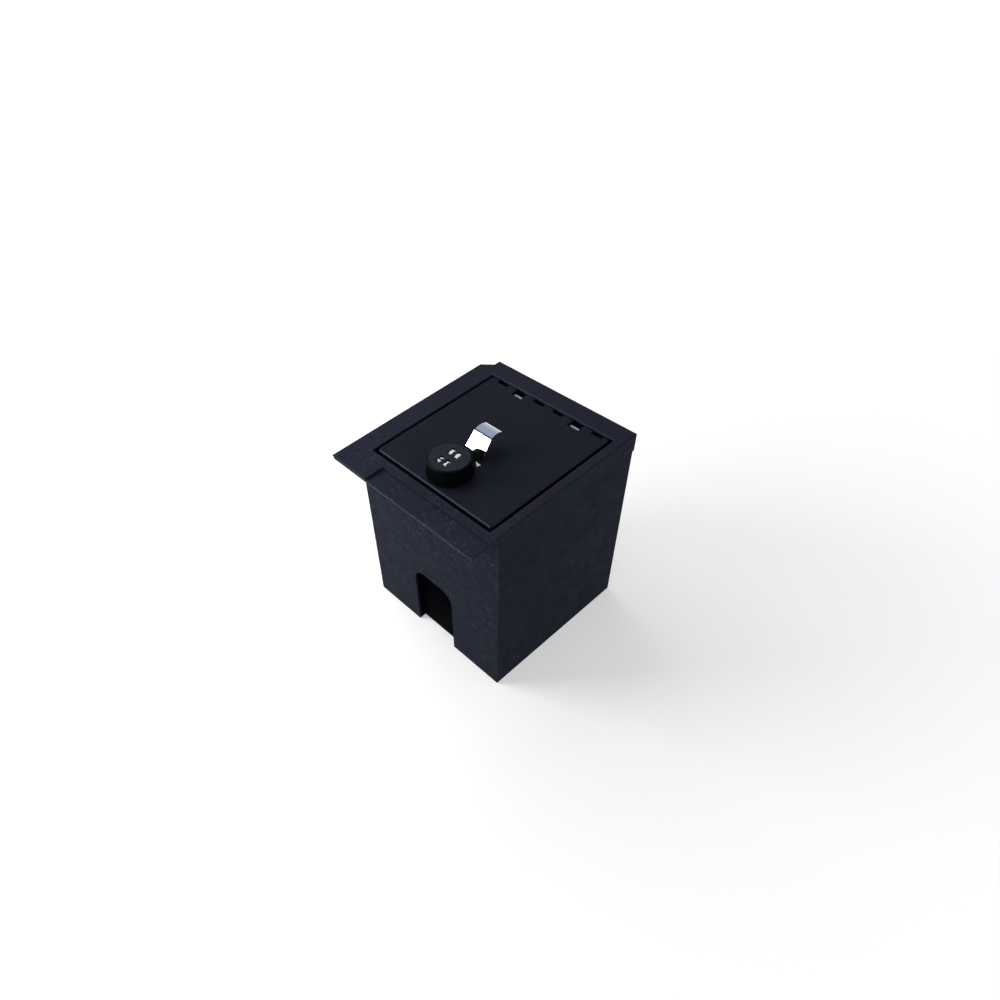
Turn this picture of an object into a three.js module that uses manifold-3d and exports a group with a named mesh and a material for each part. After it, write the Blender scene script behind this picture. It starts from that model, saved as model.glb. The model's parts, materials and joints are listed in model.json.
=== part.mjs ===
// Console safe: a deep steel box with a flush hinged lid, a combination knob and a finger pull.
// Millimetres, +Z up, +X right, +Y to the hinge. The origin is the centre of the box's underside.
import * as THREE from "three";
import { mergeVertices } from "three/addons/utils/BufferGeometryUtils.js";
import Module from "manifold-3d";

const wasm = await Module();
wasm.setup();

// Overall size and sheet
const HEIGHT = 239;
const COVER_WIDTH = 200;
const BODY_DEPTH = 194;
const PLATE = 2.7;
const GAP = 0.3;
const CUT = 1;
const BEND_RADIUS = 3;

// Cover skirts, front ledge and the raised tab at the front left
const SKIRT_DROP = 17.8;
const SKIRT_SHEET = 0.9;
const COVER_LIP = 10.3;
const LEDGE_REACH = 33;
const TAB_WIDTH = 52.5;
const COVER_EDGE = 0.5;
const FOLD_RADIUS = 2.5;

// Relieved back left corner
const CORNER_WIDTH = 13.2;
const CORNER_STEP = 9.2;
const CORNER_LENGTH = 20;
const CORNER_RADIUS = 4;

// Lid opening and the lid in it
const MARGIN_LEFT = 23.6;
const MARGIN_RIGHT = 10;
const MARGIN_BACK = 22.9;
const OPENING_FORWARD = 1.7;
const LID_GAP_SIDE = 4.75;
const LID_GAP_FRONT = 5.9;
const LID_GAP_BACK = 3.5;
const LID_CORNER = 2;
const LID_EDGE = 0.5;
const FRONT_RELIEF = 3.2;

// Rim welded under the lid, and the seat frame and strike below it
const RIM_SETBACK = 6;
const RIM_SHEET = 2;
const RIM_DROP = 5.6;
const RIM_TO_HINGE = 3.5;
const BUMPER_THICKNESS = 0.9;
const BUMPER_RADIUS = 3;
const BUMPER_TO_HINGE = 14;
const SEAT_SHEET = 2;
const SEAT_MARGIN = 1.2;
const SEAT_TO_HINGE = 7;
const STRIKE_SHEET = 2;
const STRIKE_WIDTH = 40;

// Hinge
const HINGE_INSET = 5.2;
const HINGE_OFFSET = 2.2;
const PIN_RADIUS = 1.2;
const PIN_CLEARANCE = 0.4;
const PIN_HEAD = 1;
const KNUCKLE_RADIUS = 2.4;
const KNUCKLE_CLEARANCE = 0.4;
const KNUCKLE_PITCH = 25.5;
const KNUCKLE_COUNT = 6;
const KNUCKLE_WIDTH = 13;
const KNUCKLE_SIDE_GAP = 0.5;
const SLEEVE_PLACES = [1, 4];
const SLEEVE_RADIUS = 2.8;
const SLEEVE_WIDTH = 11.5;
const NOTCH_DEPTH = 4.5;
const SLOT_DEPTH = 10.3;
const ARM_DROP = 2.2;
const ARM_SHEET = 1.7;
const LEAF_SHEET = 1.2;
const LEAF_LENGTH = 22;
const LEAF_TO_HINGE = 6.1;
const LID_RIVET_ROW = 15.4;
const FIXED_LEAF_SETBACK = 9.9;
const FIXED_LEAF_SHEET = 1.5;
const FIXED_LEAF_DEPTH = 15;
const BODY_RIVET_ROW = 9;
const RIVET_RADIUS = 3;
const RIVET_CROWN = 1.8;
const RIVET_HEIGHT = 1.5;
const RIVET_RIM = 0.5;
const RIVET_SHANK = 1.6;
const RIVET_PITCH = 50;

// Lid stiffener, a hat section
const HAT_WIDTH = 44;
const HAT_CROWN = 24;
const HAT_DEPTH = 5;
const HAT_SHEET = 1.2;
const HAT_PLACE = 12;

// Knob, its base ring, face plate and number wheels
const KNOB_FROM_FRONT = 24.8;
const KNOB_RADIUS = 21.9;
const KNOB_FLARE = 0.7;
const KNOB_WALL = 2.6;
const KNOB_FLOOR = 2;
const KNOB_CHAMFER = 0.8;
const KNOB_RUNNING_GAP = 0.4;
const RING_RADIUS = 23.4;
const RING_THICKNESS = 2.2;
const FACE_SHEET = 2;
const SPIGOT_DEPTH = 1.3;
const SPIGOT_WALL = 1.3;
const WHEEL_RADIUS = 6;
const WHEEL_GROOVE = 0.4;
const WHEEL_WIDTH = 5.2;
const WHEEL_SINK = 0.4;
const WHEEL_FLOOR_GAP = 1.2;
const WHEEL_FACES = 10;
const ROW_GAP = 3;
const COLUMN_GAP = 3.2;
const WINDOW_SIDE_GAP = 0.4;
const AXLE_RADIUS = 1.2;
const AXLE_CLEARANCE = 0.35;
const CRADLE_SHEET = 2;
const CRADLE_GAP = 0.6;

// Lock body, spindle and cam
const HOUSING_RADIUS = 9.5;
const HOUSING_CLEARANCE = 0.4;
const SPINDLE_RADIUS = 4.6;
const SPINDLE_SQUARE = 6;
const CAM_REACH = 23;
const CAM_WIDTH = 15;
const CAM_HUB_RADIUS = 4.5;
const CAM_TIP_RADIUS = 3;
const CAM_SHEET = 2.5;
const CAM_CLEARANCE = 0.5;
const CAM_SCREW_CROWN = 3.5;
const CAM_SCREW_HEAD = 5;
const CAM_SCREW_HEIGHT = 2;
const CAM_SCREW_RADIUS = 1.5;
const CAM_SCREW_LENGTH = 4;
const NUT_FLATS = 24;
const NUT_HEIGHT = 4.2;
const WASHER_RADIUS = 13.5;
const WASHER_SHEET = 0.9;

// Finger pull, a strip bent up, creased and curled over
const PULL_SHEET = 1.2;
const PULL_EYE = 14;
const PULL_FLAT = 27.8;
const PULL_FOOT_BEND = 2.5;
const PULL_RAMP_ANGLE = 49.5;
const PULL_RAMP = 23;
const PULL_CREASE_BEND = 1.2;
const PULL_CREASE_ANGLE = 17.5;
const PULL_CURL_BEND = 14;
const PULL_CURL_ANGLE = 75;
const PULL_TIP = 1.5;
const PULL_NECK_WIDTH = 11;
const PULL_NECK = 28.5;
const PULL_SHOULDER = 4;
const PULL_FOOT_WIDTH = 25;
const PULL_WIDTH = 22.4;
const PULL_TIP_WIDTH = 21;
const PULL_TIP_RADIUS = 3.2;

// Turn-direction mark on the lid
const MARK_RADIUS = 28.3;
const MARK_ANGLE = 66.5;
const MARK_LENGTH = 6.7;
const MARK_WIDTH = 4.2;
const MARK_SHEET = 0.5;

// Notch in the front wall and the pocket behind it
const NOTCH_WIDTH = 59;
const NOTCH_HEIGHT = 93;
const NOTCH_RADIUS = 16;
const POCKET_DEPTH = 8.8;
const POCKET_MARGIN = 1.5;

// Floor mat and mounting hole plugs
const MAT_SHEET = 3;
const MAT_MARGIN = 3;
const PLUG_SPACING_X = 120;
const PLUG_SPACING_Y = 110;
const PLUG_RADIUS = 4.2;
const PLUG_HEAD = 7;
const PLUG_HEAD_HEIGHT = 1.2;
const PLUG_BEVEL = 0.6;
const MAT_HOLE_GAP = 1.5;

// Levels and faces worked out from the sizes above
const skirtProud = SKIRT_SHEET + GAP;
const coverHalf = COVER_WIDTH / 2;
const bodyHalf = coverHalf - skirtProud;
const bodyFront = -BODY_DEPTH / 2;
const bodyBack = BODY_DEPTH / 2;
const coverBack = bodyBack + skirtProud;
const coverFront = bodyFront - COVER_LIP;
const ledgeFront = bodyFront - LEDGE_REACH;
const coverUnder = HEIGHT - PLATE;
const bodyTop = coverUnder - GAP;

const opening = {
  left: -coverHalf + MARGIN_LEFT,
  right: coverHalf - MARGIN_RIGHT,
  front: bodyFront - OPENING_FORWARD,
  back: coverBack - MARGIN_BACK,
};
const lid = {
  left: opening.left + LID_GAP_SIDE,
  right: opening.right - LID_GAP_SIDE,
  front: opening.front + LID_GAP_FRONT,
  back: opening.back - LID_GAP_BACK,
};
const lidCentre = (lid.left + lid.right) / 2;
const rimBottom = coverUnder - RIM_DROP;
const seatTop = rimBottom - BUMPER_THICKNESS - 2 * GAP;
const seatBottom = seatTop - SEAT_SHEET;
const seatFront = bodyFront + PLATE + GAP;
const seatReach = RIM_SETBACK + RIM_SHEET / 2 + BUMPER_RADIUS + SEAT_MARGIN;
const strikeBottom = seatBottom - GAP - STRIKE_SHEET;

const hinge = {
  x: lidCentre + HINGE_OFFSET,
  y: lid.back - HINGE_INSET,
  z: coverUnder - KNUCKLE_CLEARANCE - KNUCKLE_RADIUS,
};
const knuckleBore = PIN_RADIUS + PIN_CLEARANCE;
const knucklePlaces = Array.from({ length: KNUCKLE_COUNT },
  (_, i) => hinge.x + (i - (KNUCKLE_COUNT - 1) / 2) * KNUCKLE_PITCH);
const lidKnuckleWidth = KNUCKLE_PITCH - KNUCKLE_WIDTH - 2 * KNUCKLE_SIDE_GAP;
const armTop = hinge.z - ARM_DROP;
const armBottom = armTop - ARM_SHEET;
const fixedLeafFront = hinge.y + FIXED_LEAF_SETBACK;
const bodyRivetRow = fixedLeafFront + BODY_RIVET_ROW;
const lidRivetRow = hinge.y - LID_RIVET_ROW;

const knob = { x: lidCentre, y: lid.front + KNOB_FROM_FRONT };
const pullBottom = HEIGHT + GAP;
const ringBottom = pullBottom + PULL_SHEET + GAP;
const ringTop = ringBottom + RING_THICKNESS;
const knobBottom = ringTop + KNOB_RUNNING_GAP;
const axleLevel = knobBottom + KNOB_FLOOR + WHEEL_FLOOR_GAP + WHEEL_RADIUS;
const knobTop = axleLevel + WHEEL_RADIUS + WHEEL_SINK;
const faceBottom = knobTop - FACE_SHEET;
const cupInside = KNOB_RADIUS - KNOB_WALL;
const rowPlace = WHEEL_RADIUS + ROW_GAP / 2;
const columnPlace = (WHEEL_WIDTH + COLUMN_GAP) / 2;
const cradlePlace = columnPlace + WHEEL_WIDTH / 2 + CRADLE_GAP;
const camTop = strikeBottom - CAM_CLEARANCE;
const camBottom = camTop - CAM_SHEET;
const housingBottom = camTop + GAP;

// Materials
const steelBlack = new THREE.MeshStandardMaterial({ color: 0x24262f, roughness: 0.55, metalness: 0.1 });
const steelTextured = new THREE.MeshStandardMaterial({ color: 0x2b2d38, roughness: 0.7, metalness: 0.1 });
const chrome = new THREE.MeshStandardMaterial({ color: 0xd9dbe0, roughness: 0.08, metalness: 1 });
const zinc = new THREE.MeshStandardMaterial({ color: 0xa9acb2, roughness: 0.3, metalness: 1 });
const plasticBlack = new THREE.MeshStandardMaterial({ color: 0x121317, roughness: 0.4, metalness: 0 });
const wheelBlack = new THREE.MeshStandardMaterial({ color: 0x17181c, roughness: 0.5, metalness: 0 });
const rubber = new THREE.MeshStandardMaterial({ color: 0x1a1a1c, roughness: 0.85, metalness: 0 });
const markWhite = new THREE.MeshStandardMaterial({ color: 0xe4e5e8, roughness: 0.5, metalness: 0 });

const radians = THREE.MathUtils.degToRad;
const round = { knob: 64, plain: 32, pin: 24, small: 16, wheelStep: 4, bend: 6, crease: 2 };
const WELD = 1e-4;

// A closed geometry becomes a solid that can be joined and cut.
function solid(geometry) {
  const bare = geometry.clone();
  bare.deleteAttribute("normal");
  bare.deleteAttribute("uv");
  const merged = mergeVertices(bare, WELD);
  return new wasm.Manifold(new wasm.Mesh({
    numProp: 3,
    vertProperties: new Float32Array(merged.attributes.position.array),
    triVerts: new Uint32Array(merged.index.array),
  }));
}

// A solid goes back to a geometry.
function surface(body) {
  const data = body.getMesh();
  const geometry = new THREE.BufferGeometry();
  geometry.setAttribute("position", new THREE.BufferAttribute(data.vertProperties, 3));
  geometry.setIndex(new THREE.BufferAttribute(data.triVerts, 1));
  geometry.computeVertexNormals();
  return geometry;
}

function block(x0, x1, y0, y1, z0, z1) {
  const geometry = new THREE.BoxGeometry(x1 - x0, y1 - y0, z1 - z0);
  return solid(geometry.translate((x0 + x1) / 2, (y0 + y1) / 2, (z0 + z1) / 2));
}

function prism(points, z0, z1) {
  const shape = new THREE.Shape(points.map(([x, y]) => new THREE.Vector2(x, y)));
  const geometry = new THREE.ExtrudeGeometry(shape, { depth: z1 - z0, bevelEnabled: false, steps: 1 });
  return solid(geometry.translate(0, 0, z0));
}

// A profile in the YZ plane is drawn out along X.
function section(points, x0, x1) {
  const shape = new THREE.Shape(points.map(([y, z]) => new THREE.Vector2(y, z)));
  const geometry = new THREE.ExtrudeGeometry(shape, { depth: x1 - x0, bevelEnabled: false, steps: 1 });
  geometry.applyMatrix4(new THREE.Matrix4().set(0, 0, 1, x0, 1, 0, 0, 0, 0, 1, 0, 0, 0, 0, 0, 1));
  return solid(geometry);
}

// A profile in the XZ plane is drawn back along Y.
function upright(points, y0, y1) {
  return prism(points, 0, y1 - y0).rotate([90, 0, 0]).translate([0, y1, 0]);
}

function rodZ(x, y, radius, z0, z1, sides = round.plain) {
  const geometry = new THREE.CylinderGeometry(radius, radius, z1 - z0, sides);
  return solid(geometry.rotateX(Math.PI / 2).translate(x, y, (z0 + z1) / 2));
}

function rodX(y, z, radius, x0, x1, sides = round.pin) {
  const geometry = new THREE.CylinderGeometry(radius, radius, x1 - x0, sides);
  return solid(geometry.rotateZ(Math.PI / 2).translate((x0 + x1) / 2, y, z));
}

// A profile of radius and height is turned about a vertical axis.
function turned(x, y, profile, sides = round.knob) {
  const points = profile.map(([radius, z]) => new THREE.Vector2(radius, z));
  const geometry = new THREE.LatheGeometry(points, sides).rotateX(Math.PI / 2);
  return solid(geometry.translate(x, y, 0));
}

function ringZ(x, y, outer, inner, z0, z1, sides = round.plain) {
  return rodZ(x, y, outer, z0, z1, sides).subtract(rodZ(x, y, inner, z0 - CUT, z1 + CUT, sides));
}

function ringX(y, z, outer, inner, x0, x1) {
  return rodX(y, z, outer, x0, x1).subtract(rodX(y, z, inner, x0 - CUT, x1 + CUT));
}

function joined(solids) {
  return solids.reduce((whole, next) => whole.add(next));
}

function rectangle(x0, x1, y0, y1) {
  return [[x0, y0], [x1, y0], [x1, y1], [x0, y1]];
}

// A rectangle with rounded corners, a set distance inside the given bounds.
function pane(bounds, radius, distance = 0) {
  return rounded(rectangle(bounds.left + distance, bounds.right - distance,
    bounds.front + distance, bounds.back - distance)
    .map(([x, y]) => [x, y, Math.max(radius - distance, 0)]));
}

function direction([x0, y0], [x1, y1]) {
  const length = Math.hypot(x1 - x0, y1 - y0);
  return [(x1 - x0) / length, (y1 - y0) / length];
}

// Every edge of an anticlockwise outline moves inward by a distance.
function inset(points, distance) {
  return points.map((point, i) => {
    const a = direction(points[(i + points.length - 1) % points.length], point);
    const b = direction(point, points[(i + 1) % points.length]);
    const scale = distance / (1 + a[0] * b[0] + a[1] * b[1]);
    return [point[0] - (a[1] + b[1]) * scale, point[1] + (a[0] + b[0]) * scale];
  });
}

// The corners of an outline are rounded, each with its own radius.
function rounded(corners, steps = round.bend) {
  const points = [];
  corners.forEach(([x, y, radius = 0], i) => {
    if (radius === 0) {
      points.push([x, y]);
      return;
    }
    const a = direction(corners[(i + corners.length - 1) % corners.length], [x, y]);
    const b = direction([x, y], corners[(i + 1) % corners.length]);
    const turn = Math.atan2(a[0] * b[1] - a[1] * b[0], a[0] * b[0] + a[1] * b[1]);
    const back = radius * Math.tan(Math.abs(turn) / 2);
    const side = Math.sign(turn);
    const start = [x - a[0] * back, y - a[1] * back];
    const centre = [start[0] - a[1] * radius * side, start[1] + a[0] * radius * side];
    const first = Math.atan2(start[1] - centre[1], start[0] - centre[0]);
    for (let step = 0; step <= steps; step += 1) {
      const angle = first + turn * step / steps;
      points.push([centre[0] + radius * Math.cos(angle), centre[1] + radius * Math.sin(angle)]);
    }
  });
  return points;
}

// A plate whose upper edge is broken by a small bevel all round.
function plate(points, z0, z1, edge) {
  const top = inset(points, edge);
  const loops = [[points, z0], [points, z1 - edge], [top, z1]];
  const count = points.length;
  const vertices = loops.flatMap(([loop, z]) => loop.flatMap(([x, y]) => [x, y, z]));
  const cap = THREE.ShapeUtils.triangulateShape(points.map(([x, y]) => new THREE.Vector2(x, y)), []);
  const faces = cap.map(([a, b, c]) => [a, c, b]);
  cap.forEach(([a, b, c]) => faces.push([a + 2 * count, b + 2 * count, c + 2 * count]));
  for (let level = 0; level < loops.length - 1; level += 1) {
    for (let i = 0; i < count; i += 1) {
      const low = level * count + i;
      const lowNext = level * count + (i + 1) % count;
      faces.push([low, lowNext, lowNext + count], [low, lowNext + count, low + count]);
    }
  }
  const geometry = new THREE.BufferGeometry();
  geometry.setAttribute("position", new THREE.Float32BufferAttribute(vertices, 3));
  geometry.setIndex(faces.flat());
  return solid(geometry);
}

const safe = new THREE.Group();

function add(name, body, material) {
  const mesh = new THREE.Mesh(surface(body), material);
  mesh.name = name;
  safe.add(mesh);
}

// Plan of the box a set distance inside the cover's outer faces; its back left corner steps in.
function plan(distance, front) {
  const cutX = -coverHalf + CORNER_WIDTH;
  const corners = [
    [-coverHalf, front], [coverHalf, front], [coverHalf, coverBack],
    [cutX, coverBack], [cutX, coverBack - CORNER_STEP], [-coverHalf, coverBack - CORNER_LENGTH],
  ];
  const radii = [0, 0, BEND_RADIUS, 0, 0, CORNER_RADIUS];
  return rounded(inset(corners, distance).map(([x, y], i) => (
    [x, i < 2 ? front : y, Math.max(radii[i] - distance, 0)])));
}

// Box: front, side and back walls and the bottom, one folded and welded sheet.
function bodyShell() {
  const outer = plan(skirtProud, bodyFront);
  const inner = plan(skirtProud + PLATE, bodyFront + PLATE);
  const arch = rounded([
    [-NOTCH_WIDTH / 2, -CUT], [NOTCH_WIDTH / 2, -CUT],
    [NOTCH_WIDTH / 2, NOTCH_HEIGHT, NOTCH_RADIUS], [-NOTCH_WIDTH / 2, NOTCH_HEIGHT, NOTCH_RADIUS],
  ]);
  const notch = upright(arch, bodyFront - CUT, bodyFront + PLATE + CUT);
  const bottomNotch = block(-NOTCH_WIDTH / 2, NOTCH_WIDTH / 2,
    bodyFront - CUT, bodyFront + POCKET_DEPTH, -CUT, PLATE + CUT);
  const relief = block(opening.left, opening.right,
    bodyFront - CUT, bodyFront + PLATE + CUT, bodyTop - FRONT_RELIEF, bodyTop + CUT);
  const holes = plugPlaces().map(([x, y]) => (
    rodZ(x, y, PLUG_RADIUS + GAP, -CUT, PLATE + CUT, round.pin)));
  return prism(outer, 0, bodyTop)
    .subtract(prism(inner, PLATE, bodyTop + CUT))
    .subtract(notch).subtract(bottomNotch).subtract(relief).subtract(joined(holes));
}

// Pan behind the notch in the front wall, open to the front and below.
function notchPocket() {
  const inner = NOTCH_WIDTH / 2 + POCKET_MARGIN;
  const outer = inner + PLATE;
  const back = bodyFront + POCKET_DEPTH;
  const top = NOTCH_HEIGHT + POCKET_MARGIN;
  return block(-outer, outer, seatFront, back + PLATE, PLATE + GAP, top + PLATE)
    .subtract(block(-inner, inner, seatFront - CUT, back, 0, top));
}

// Flat ledge that stands out in front of the front wall, just under the cover.
function frontLedge() {
  const outline = rectangle(-bodyHalf, bodyHalf, ledgeFront, bodyFront - GAP);
  return plate(outline, bodyTop - PLATE, bodyTop, LID_EDGE);
}

// Cover: the plate round the lid opening, with skirts down the left, right and back.
function topCover() {
  const tabRight = -coverHalf + TAB_WIDTH;
  const body = plan(0, coverFront);
  const outline = [
    [-coverHalf, ledgeFront], [tabRight, ledgeFront], [tabRight, coverFront], ...body.slice(1)];
  const hole = pane(opening, LID_CORNER);
  const skirtBottom = coverUnder - SKIRT_DROP;
  const skirt = prism(plan(0, bodyFront), skirtBottom, coverUnder)
    .subtract(prism(plan(SKIRT_SHEET, bodyFront - CUT), skirtBottom - CUT, coverUnder));
  const sideFolds = upright(rounded([
    [-coverHalf, skirtBottom], [coverHalf, skirtBottom],
    [coverHalf, HEIGHT, FOLD_RADIUS], [-coverHalf, HEIGHT, FOLD_RADIUS],
  ]), ledgeFront - CUT, coverBack + CUT);
  const backFold = section(rounded([
    [ledgeFront - CUT, skirtBottom], [coverBack, skirtBottom],
    [coverBack, HEIGHT, FOLD_RADIUS], [ledgeFront - CUT, HEIGHT],
  ]), -coverHalf - CUT, coverHalf + CUT);
  return plate(outline, coverUnder, HEIGHT, COVER_EDGE).add(skirt)
    .intersect(sideFolds).intersect(backFold)
    .subtract(prism(hole, coverUnder - CUT, HEIGHT + CUT));
}

// Lid plate with the hinge notches and the lock hole.
function lidPlate() {
  const notches = knucklePlaces.map((x, i) => {
    const half = KNUCKLE_WIDTH / 2 + KNUCKLE_SIDE_GAP;
    const depth = SLEEVE_PLACES.includes(i) ? SLOT_DEPTH : NOTCH_DEPTH;
    return block(x - half, x + half, lid.back - depth, lid.back + CUT, coverUnder - CUT, HEIGHT + CUT);
  });
  const lockHole = rodZ(knob.x, knob.y, HOUSING_RADIUS + HOUSING_CLEARANCE,
    coverUnder - CUT, HEIGHT + CUT);
  return plate(pane(lid, LID_CORNER), coverUnder, HEIGHT, LID_EDGE)
    .subtract(joined(notches)).subtract(lockHole);
}

// Rim: a strip on edge, bent to a U and welded under the lid; it comes down on the bumpers.
function lidRim() {
  const back = hinge.y - KNUCKLE_RADIUS - RIM_TO_HINGE;
  const top = coverUnder - GAP;
  const corner = LID_CORNER + RIM_SHEET;
  return prism(pane(lid, corner + RIM_SETBACK, RIM_SETBACK), rimBottom, top)
    .subtract(prism(pane(lid, corner + RIM_SETBACK, RIM_SETBACK + RIM_SHEET), rimBottom - CUT, top + CUT))
    .subtract(block(lid.left, lid.right, back, lid.back, rimBottom - CUT, top + CUT));
}

// Hat section under the lid, spot welded across it.
function lidStiffener() {
  const top = coverUnder - GAP;
  const y = HAT_PLACE;
  const profile = [
    [y - HAT_WIDTH / 2, top], [y - HAT_WIDTH / 2, top - HAT_SHEET],
    [y - HAT_CROWN / 2, top - HAT_SHEET], [y - HAT_CROWN / 2, top - HAT_DEPTH],
    [y + HAT_CROWN / 2, top - HAT_DEPTH], [y + HAT_CROWN / 2, top - HAT_SHEET],
    [y + HAT_WIDTH / 2, top - HAT_SHEET], [y + HAT_WIDTH / 2, top],
    [y + HAT_CROWN / 2 - HAT_SHEET, top], [y + HAT_CROWN / 2 - HAT_SHEET, top - HAT_DEPTH + HAT_SHEET],
    [y - HAT_CROWN / 2 + HAT_SHEET, top - HAT_DEPTH + HAT_SHEET], [y - HAT_CROWN / 2 + HAT_SHEET, top],
  ];
  const end = RIM_SETBACK + RIM_SHEET + GAP;
  return section(profile, lid.left + end, lid.right - end);
}

// Three-sided frame welded inside the walls; it carries the bumpers under the lid's rim.
function lidSeat() {
  const outer = plan(skirtProud + PLATE + GAP, seatFront);
  const inner = block(lid.left + seatReach, lid.right - seatReach,
    lid.front + seatReach, bodyBack, seatBottom - CUT, seatTop + CUT);
  const rear = block(-coverHalf, coverHalf,
    hinge.y - KNUCKLE_RADIUS - SEAT_TO_HINGE, bodyBack + CUT, seatBottom - CUT, seatTop + CUT);
  return prism(outer, seatBottom, seatTop).subtract(inner).subtract(rear);
}

// Plate under the seat's front leg; the cam turns in under it.
function strikePlate() {
  return block(knob.x - STRIKE_WIDTH / 2, knob.x + STRIKE_WIDTH / 2,
    seatFront, lid.front + seatReach, strikeBottom, seatBottom - GAP);
}

function bumperPlaces() {
  const along = RIM_SETBACK + RIM_SHEET / 2;
  const corner = along + LID_CORNER + RIM_SHEET + BUMPER_RADIUS;
  const rear = hinge.y - KNUCKLE_RADIUS - BUMPER_TO_HINGE;
  return [
    [lid.left + corner, lid.front + along], [lid.right - corner, lid.front + along],
    [lid.left + along, rear], [lid.right - along, rear],
  ];
}

// Leaf under the cover's back margin, with a lip down to the arms of its four knuckles.
function fixedLeaf() {
  const halfWidth = (KNUCKLE_COUNT * KNUCKLE_PITCH - KNUCKLE_PITCH + KNUCKLE_WIDTH) / 2;
  const top = coverUnder - GAP;
  const under = top - FIXED_LEAF_SHEET;
  const leaf = block(hinge.x - halfWidth, hinge.x + halfWidth,
    fixedLeafFront, fixedLeafFront + FIXED_LEAF_DEPTH, under, top);
  const lip = block(hinge.x - halfWidth, hinge.x + halfWidth,
    fixedLeafFront, fixedLeafFront + FIXED_LEAF_SHEET, armBottom, top);
  const arms = knucklePlaces.filter((_, i) => !SLEEVE_PLACES.includes(i)).map(knuckleArm);
  return joined([leaf, lip, ...arms]).subtract(rivetHoles(bodyRivetRow, under));
}

function knuckleArm(x) {
  const x0 = x - KNUCKLE_WIDTH / 2;
  const x1 = x + KNUCKLE_WIDTH / 2;
  return block(x0, x1, hinge.y - PIN_RADIUS, fixedLeafFront + FIXED_LEAF_SHEET / 2, armBottom, armTop)
    .add(rodX(hinge.y, hinge.z, KNUCKLE_RADIUS, x0, x1))
    .subtract(rodX(hinge.y, hinge.z, knuckleBore, x0 - CUT, x1 + CUT));
}

// Bright sleeve on the pin, in one of the lid's two long slots.
function hingeSleeve(x) {
  return ringX(hinge.y, hinge.z, SLEEVE_RADIUS, knuckleBore, x - SLEEVE_WIDTH / 2, x + SLEEVE_WIDTH / 2);
}

// Leaf under the lid, with a finger and a knuckle between each pair of fixed ones.
function lidLeaf() {
  const top = coverUnder - GAP;
  const under = top - LEAF_SHEET;
  const halfWidth = (KNUCKLE_COUNT - 1) * KNUCKLE_PITCH / 2 - KNUCKLE_WIDTH / 2;
  const fingerStart = hinge.y - LEAF_TO_HINGE;
  const leaf = block(hinge.x - halfWidth, hinge.x + halfWidth,
    hinge.y - LEAF_LENGTH, fingerStart, under, top);
  const fingers = knucklePlaces.slice(1).map((x) => {
    const centre = x - KNUCKLE_PITCH / 2;
    const x0 = centre - lidKnuckleWidth / 2;
    const x1 = centre + lidKnuckleWidth / 2;
    return block(x0, x1, fingerStart - CUT, hinge.y, under, top)
      .add(rodX(hinge.y, hinge.z, KNUCKLE_RADIUS, x0, x1))
      .subtract(rodX(hinge.y, hinge.z, knuckleBore, x0 - CUT, x1 + CUT));
  });
  return joined([leaf, ...fingers]).subtract(rivetHoles(lidRivetRow, under));
}

function hingePin() {
  const reach = (KNUCKLE_COUNT - 1) * KNUCKLE_PITCH / 2 + KNUCKLE_WIDTH / 2 + GAP;
  const x0 = hinge.x - reach;
  const x1 = hinge.x + reach;
  const head = KNUCKLE_RADIUS - PIN_CLEARANCE / 2;
  return joined([
    rodX(hinge.y, hinge.z, PIN_RADIUS, x0 - PIN_HEAD / 2, x1 + PIN_HEAD / 2),
    rodX(hinge.y, hinge.z, head, x0 - PIN_HEAD, x0),
    rodX(hinge.y, hinge.z, head, x1, x1 + PIN_HEAD),
  ]);
}

function rivetPlaces(y) {
  return [-1, 0, 1].map((step) => [hinge.x + step * RIVET_PITCH, y]);
}

function rivetHoles(y, under) {
  return joined(rivetPlaces(y).map(([x]) => (
    rodZ(x, y, RIVET_SHANK + GAP, under - CUT, coverUnder, round.small))));
}

// Rivet with a low head under a hinge leaf and its shank up through the leaf.
function rivet(x, y, leafUnder) {
  const top = leafUnder - GAP;
  return turned(x, y, [
    [0, top - RIVET_HEIGHT], [RIVET_CROWN, top - RIVET_HEIGHT],
    [RIVET_RADIUS, top - RIVET_RIM], [RIVET_RADIUS, top],
    [RIVET_SHANK, top], [RIVET_SHANK, coverUnder - GAP], [0, coverUnder - GAP],
  ], round.small);
}

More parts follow.
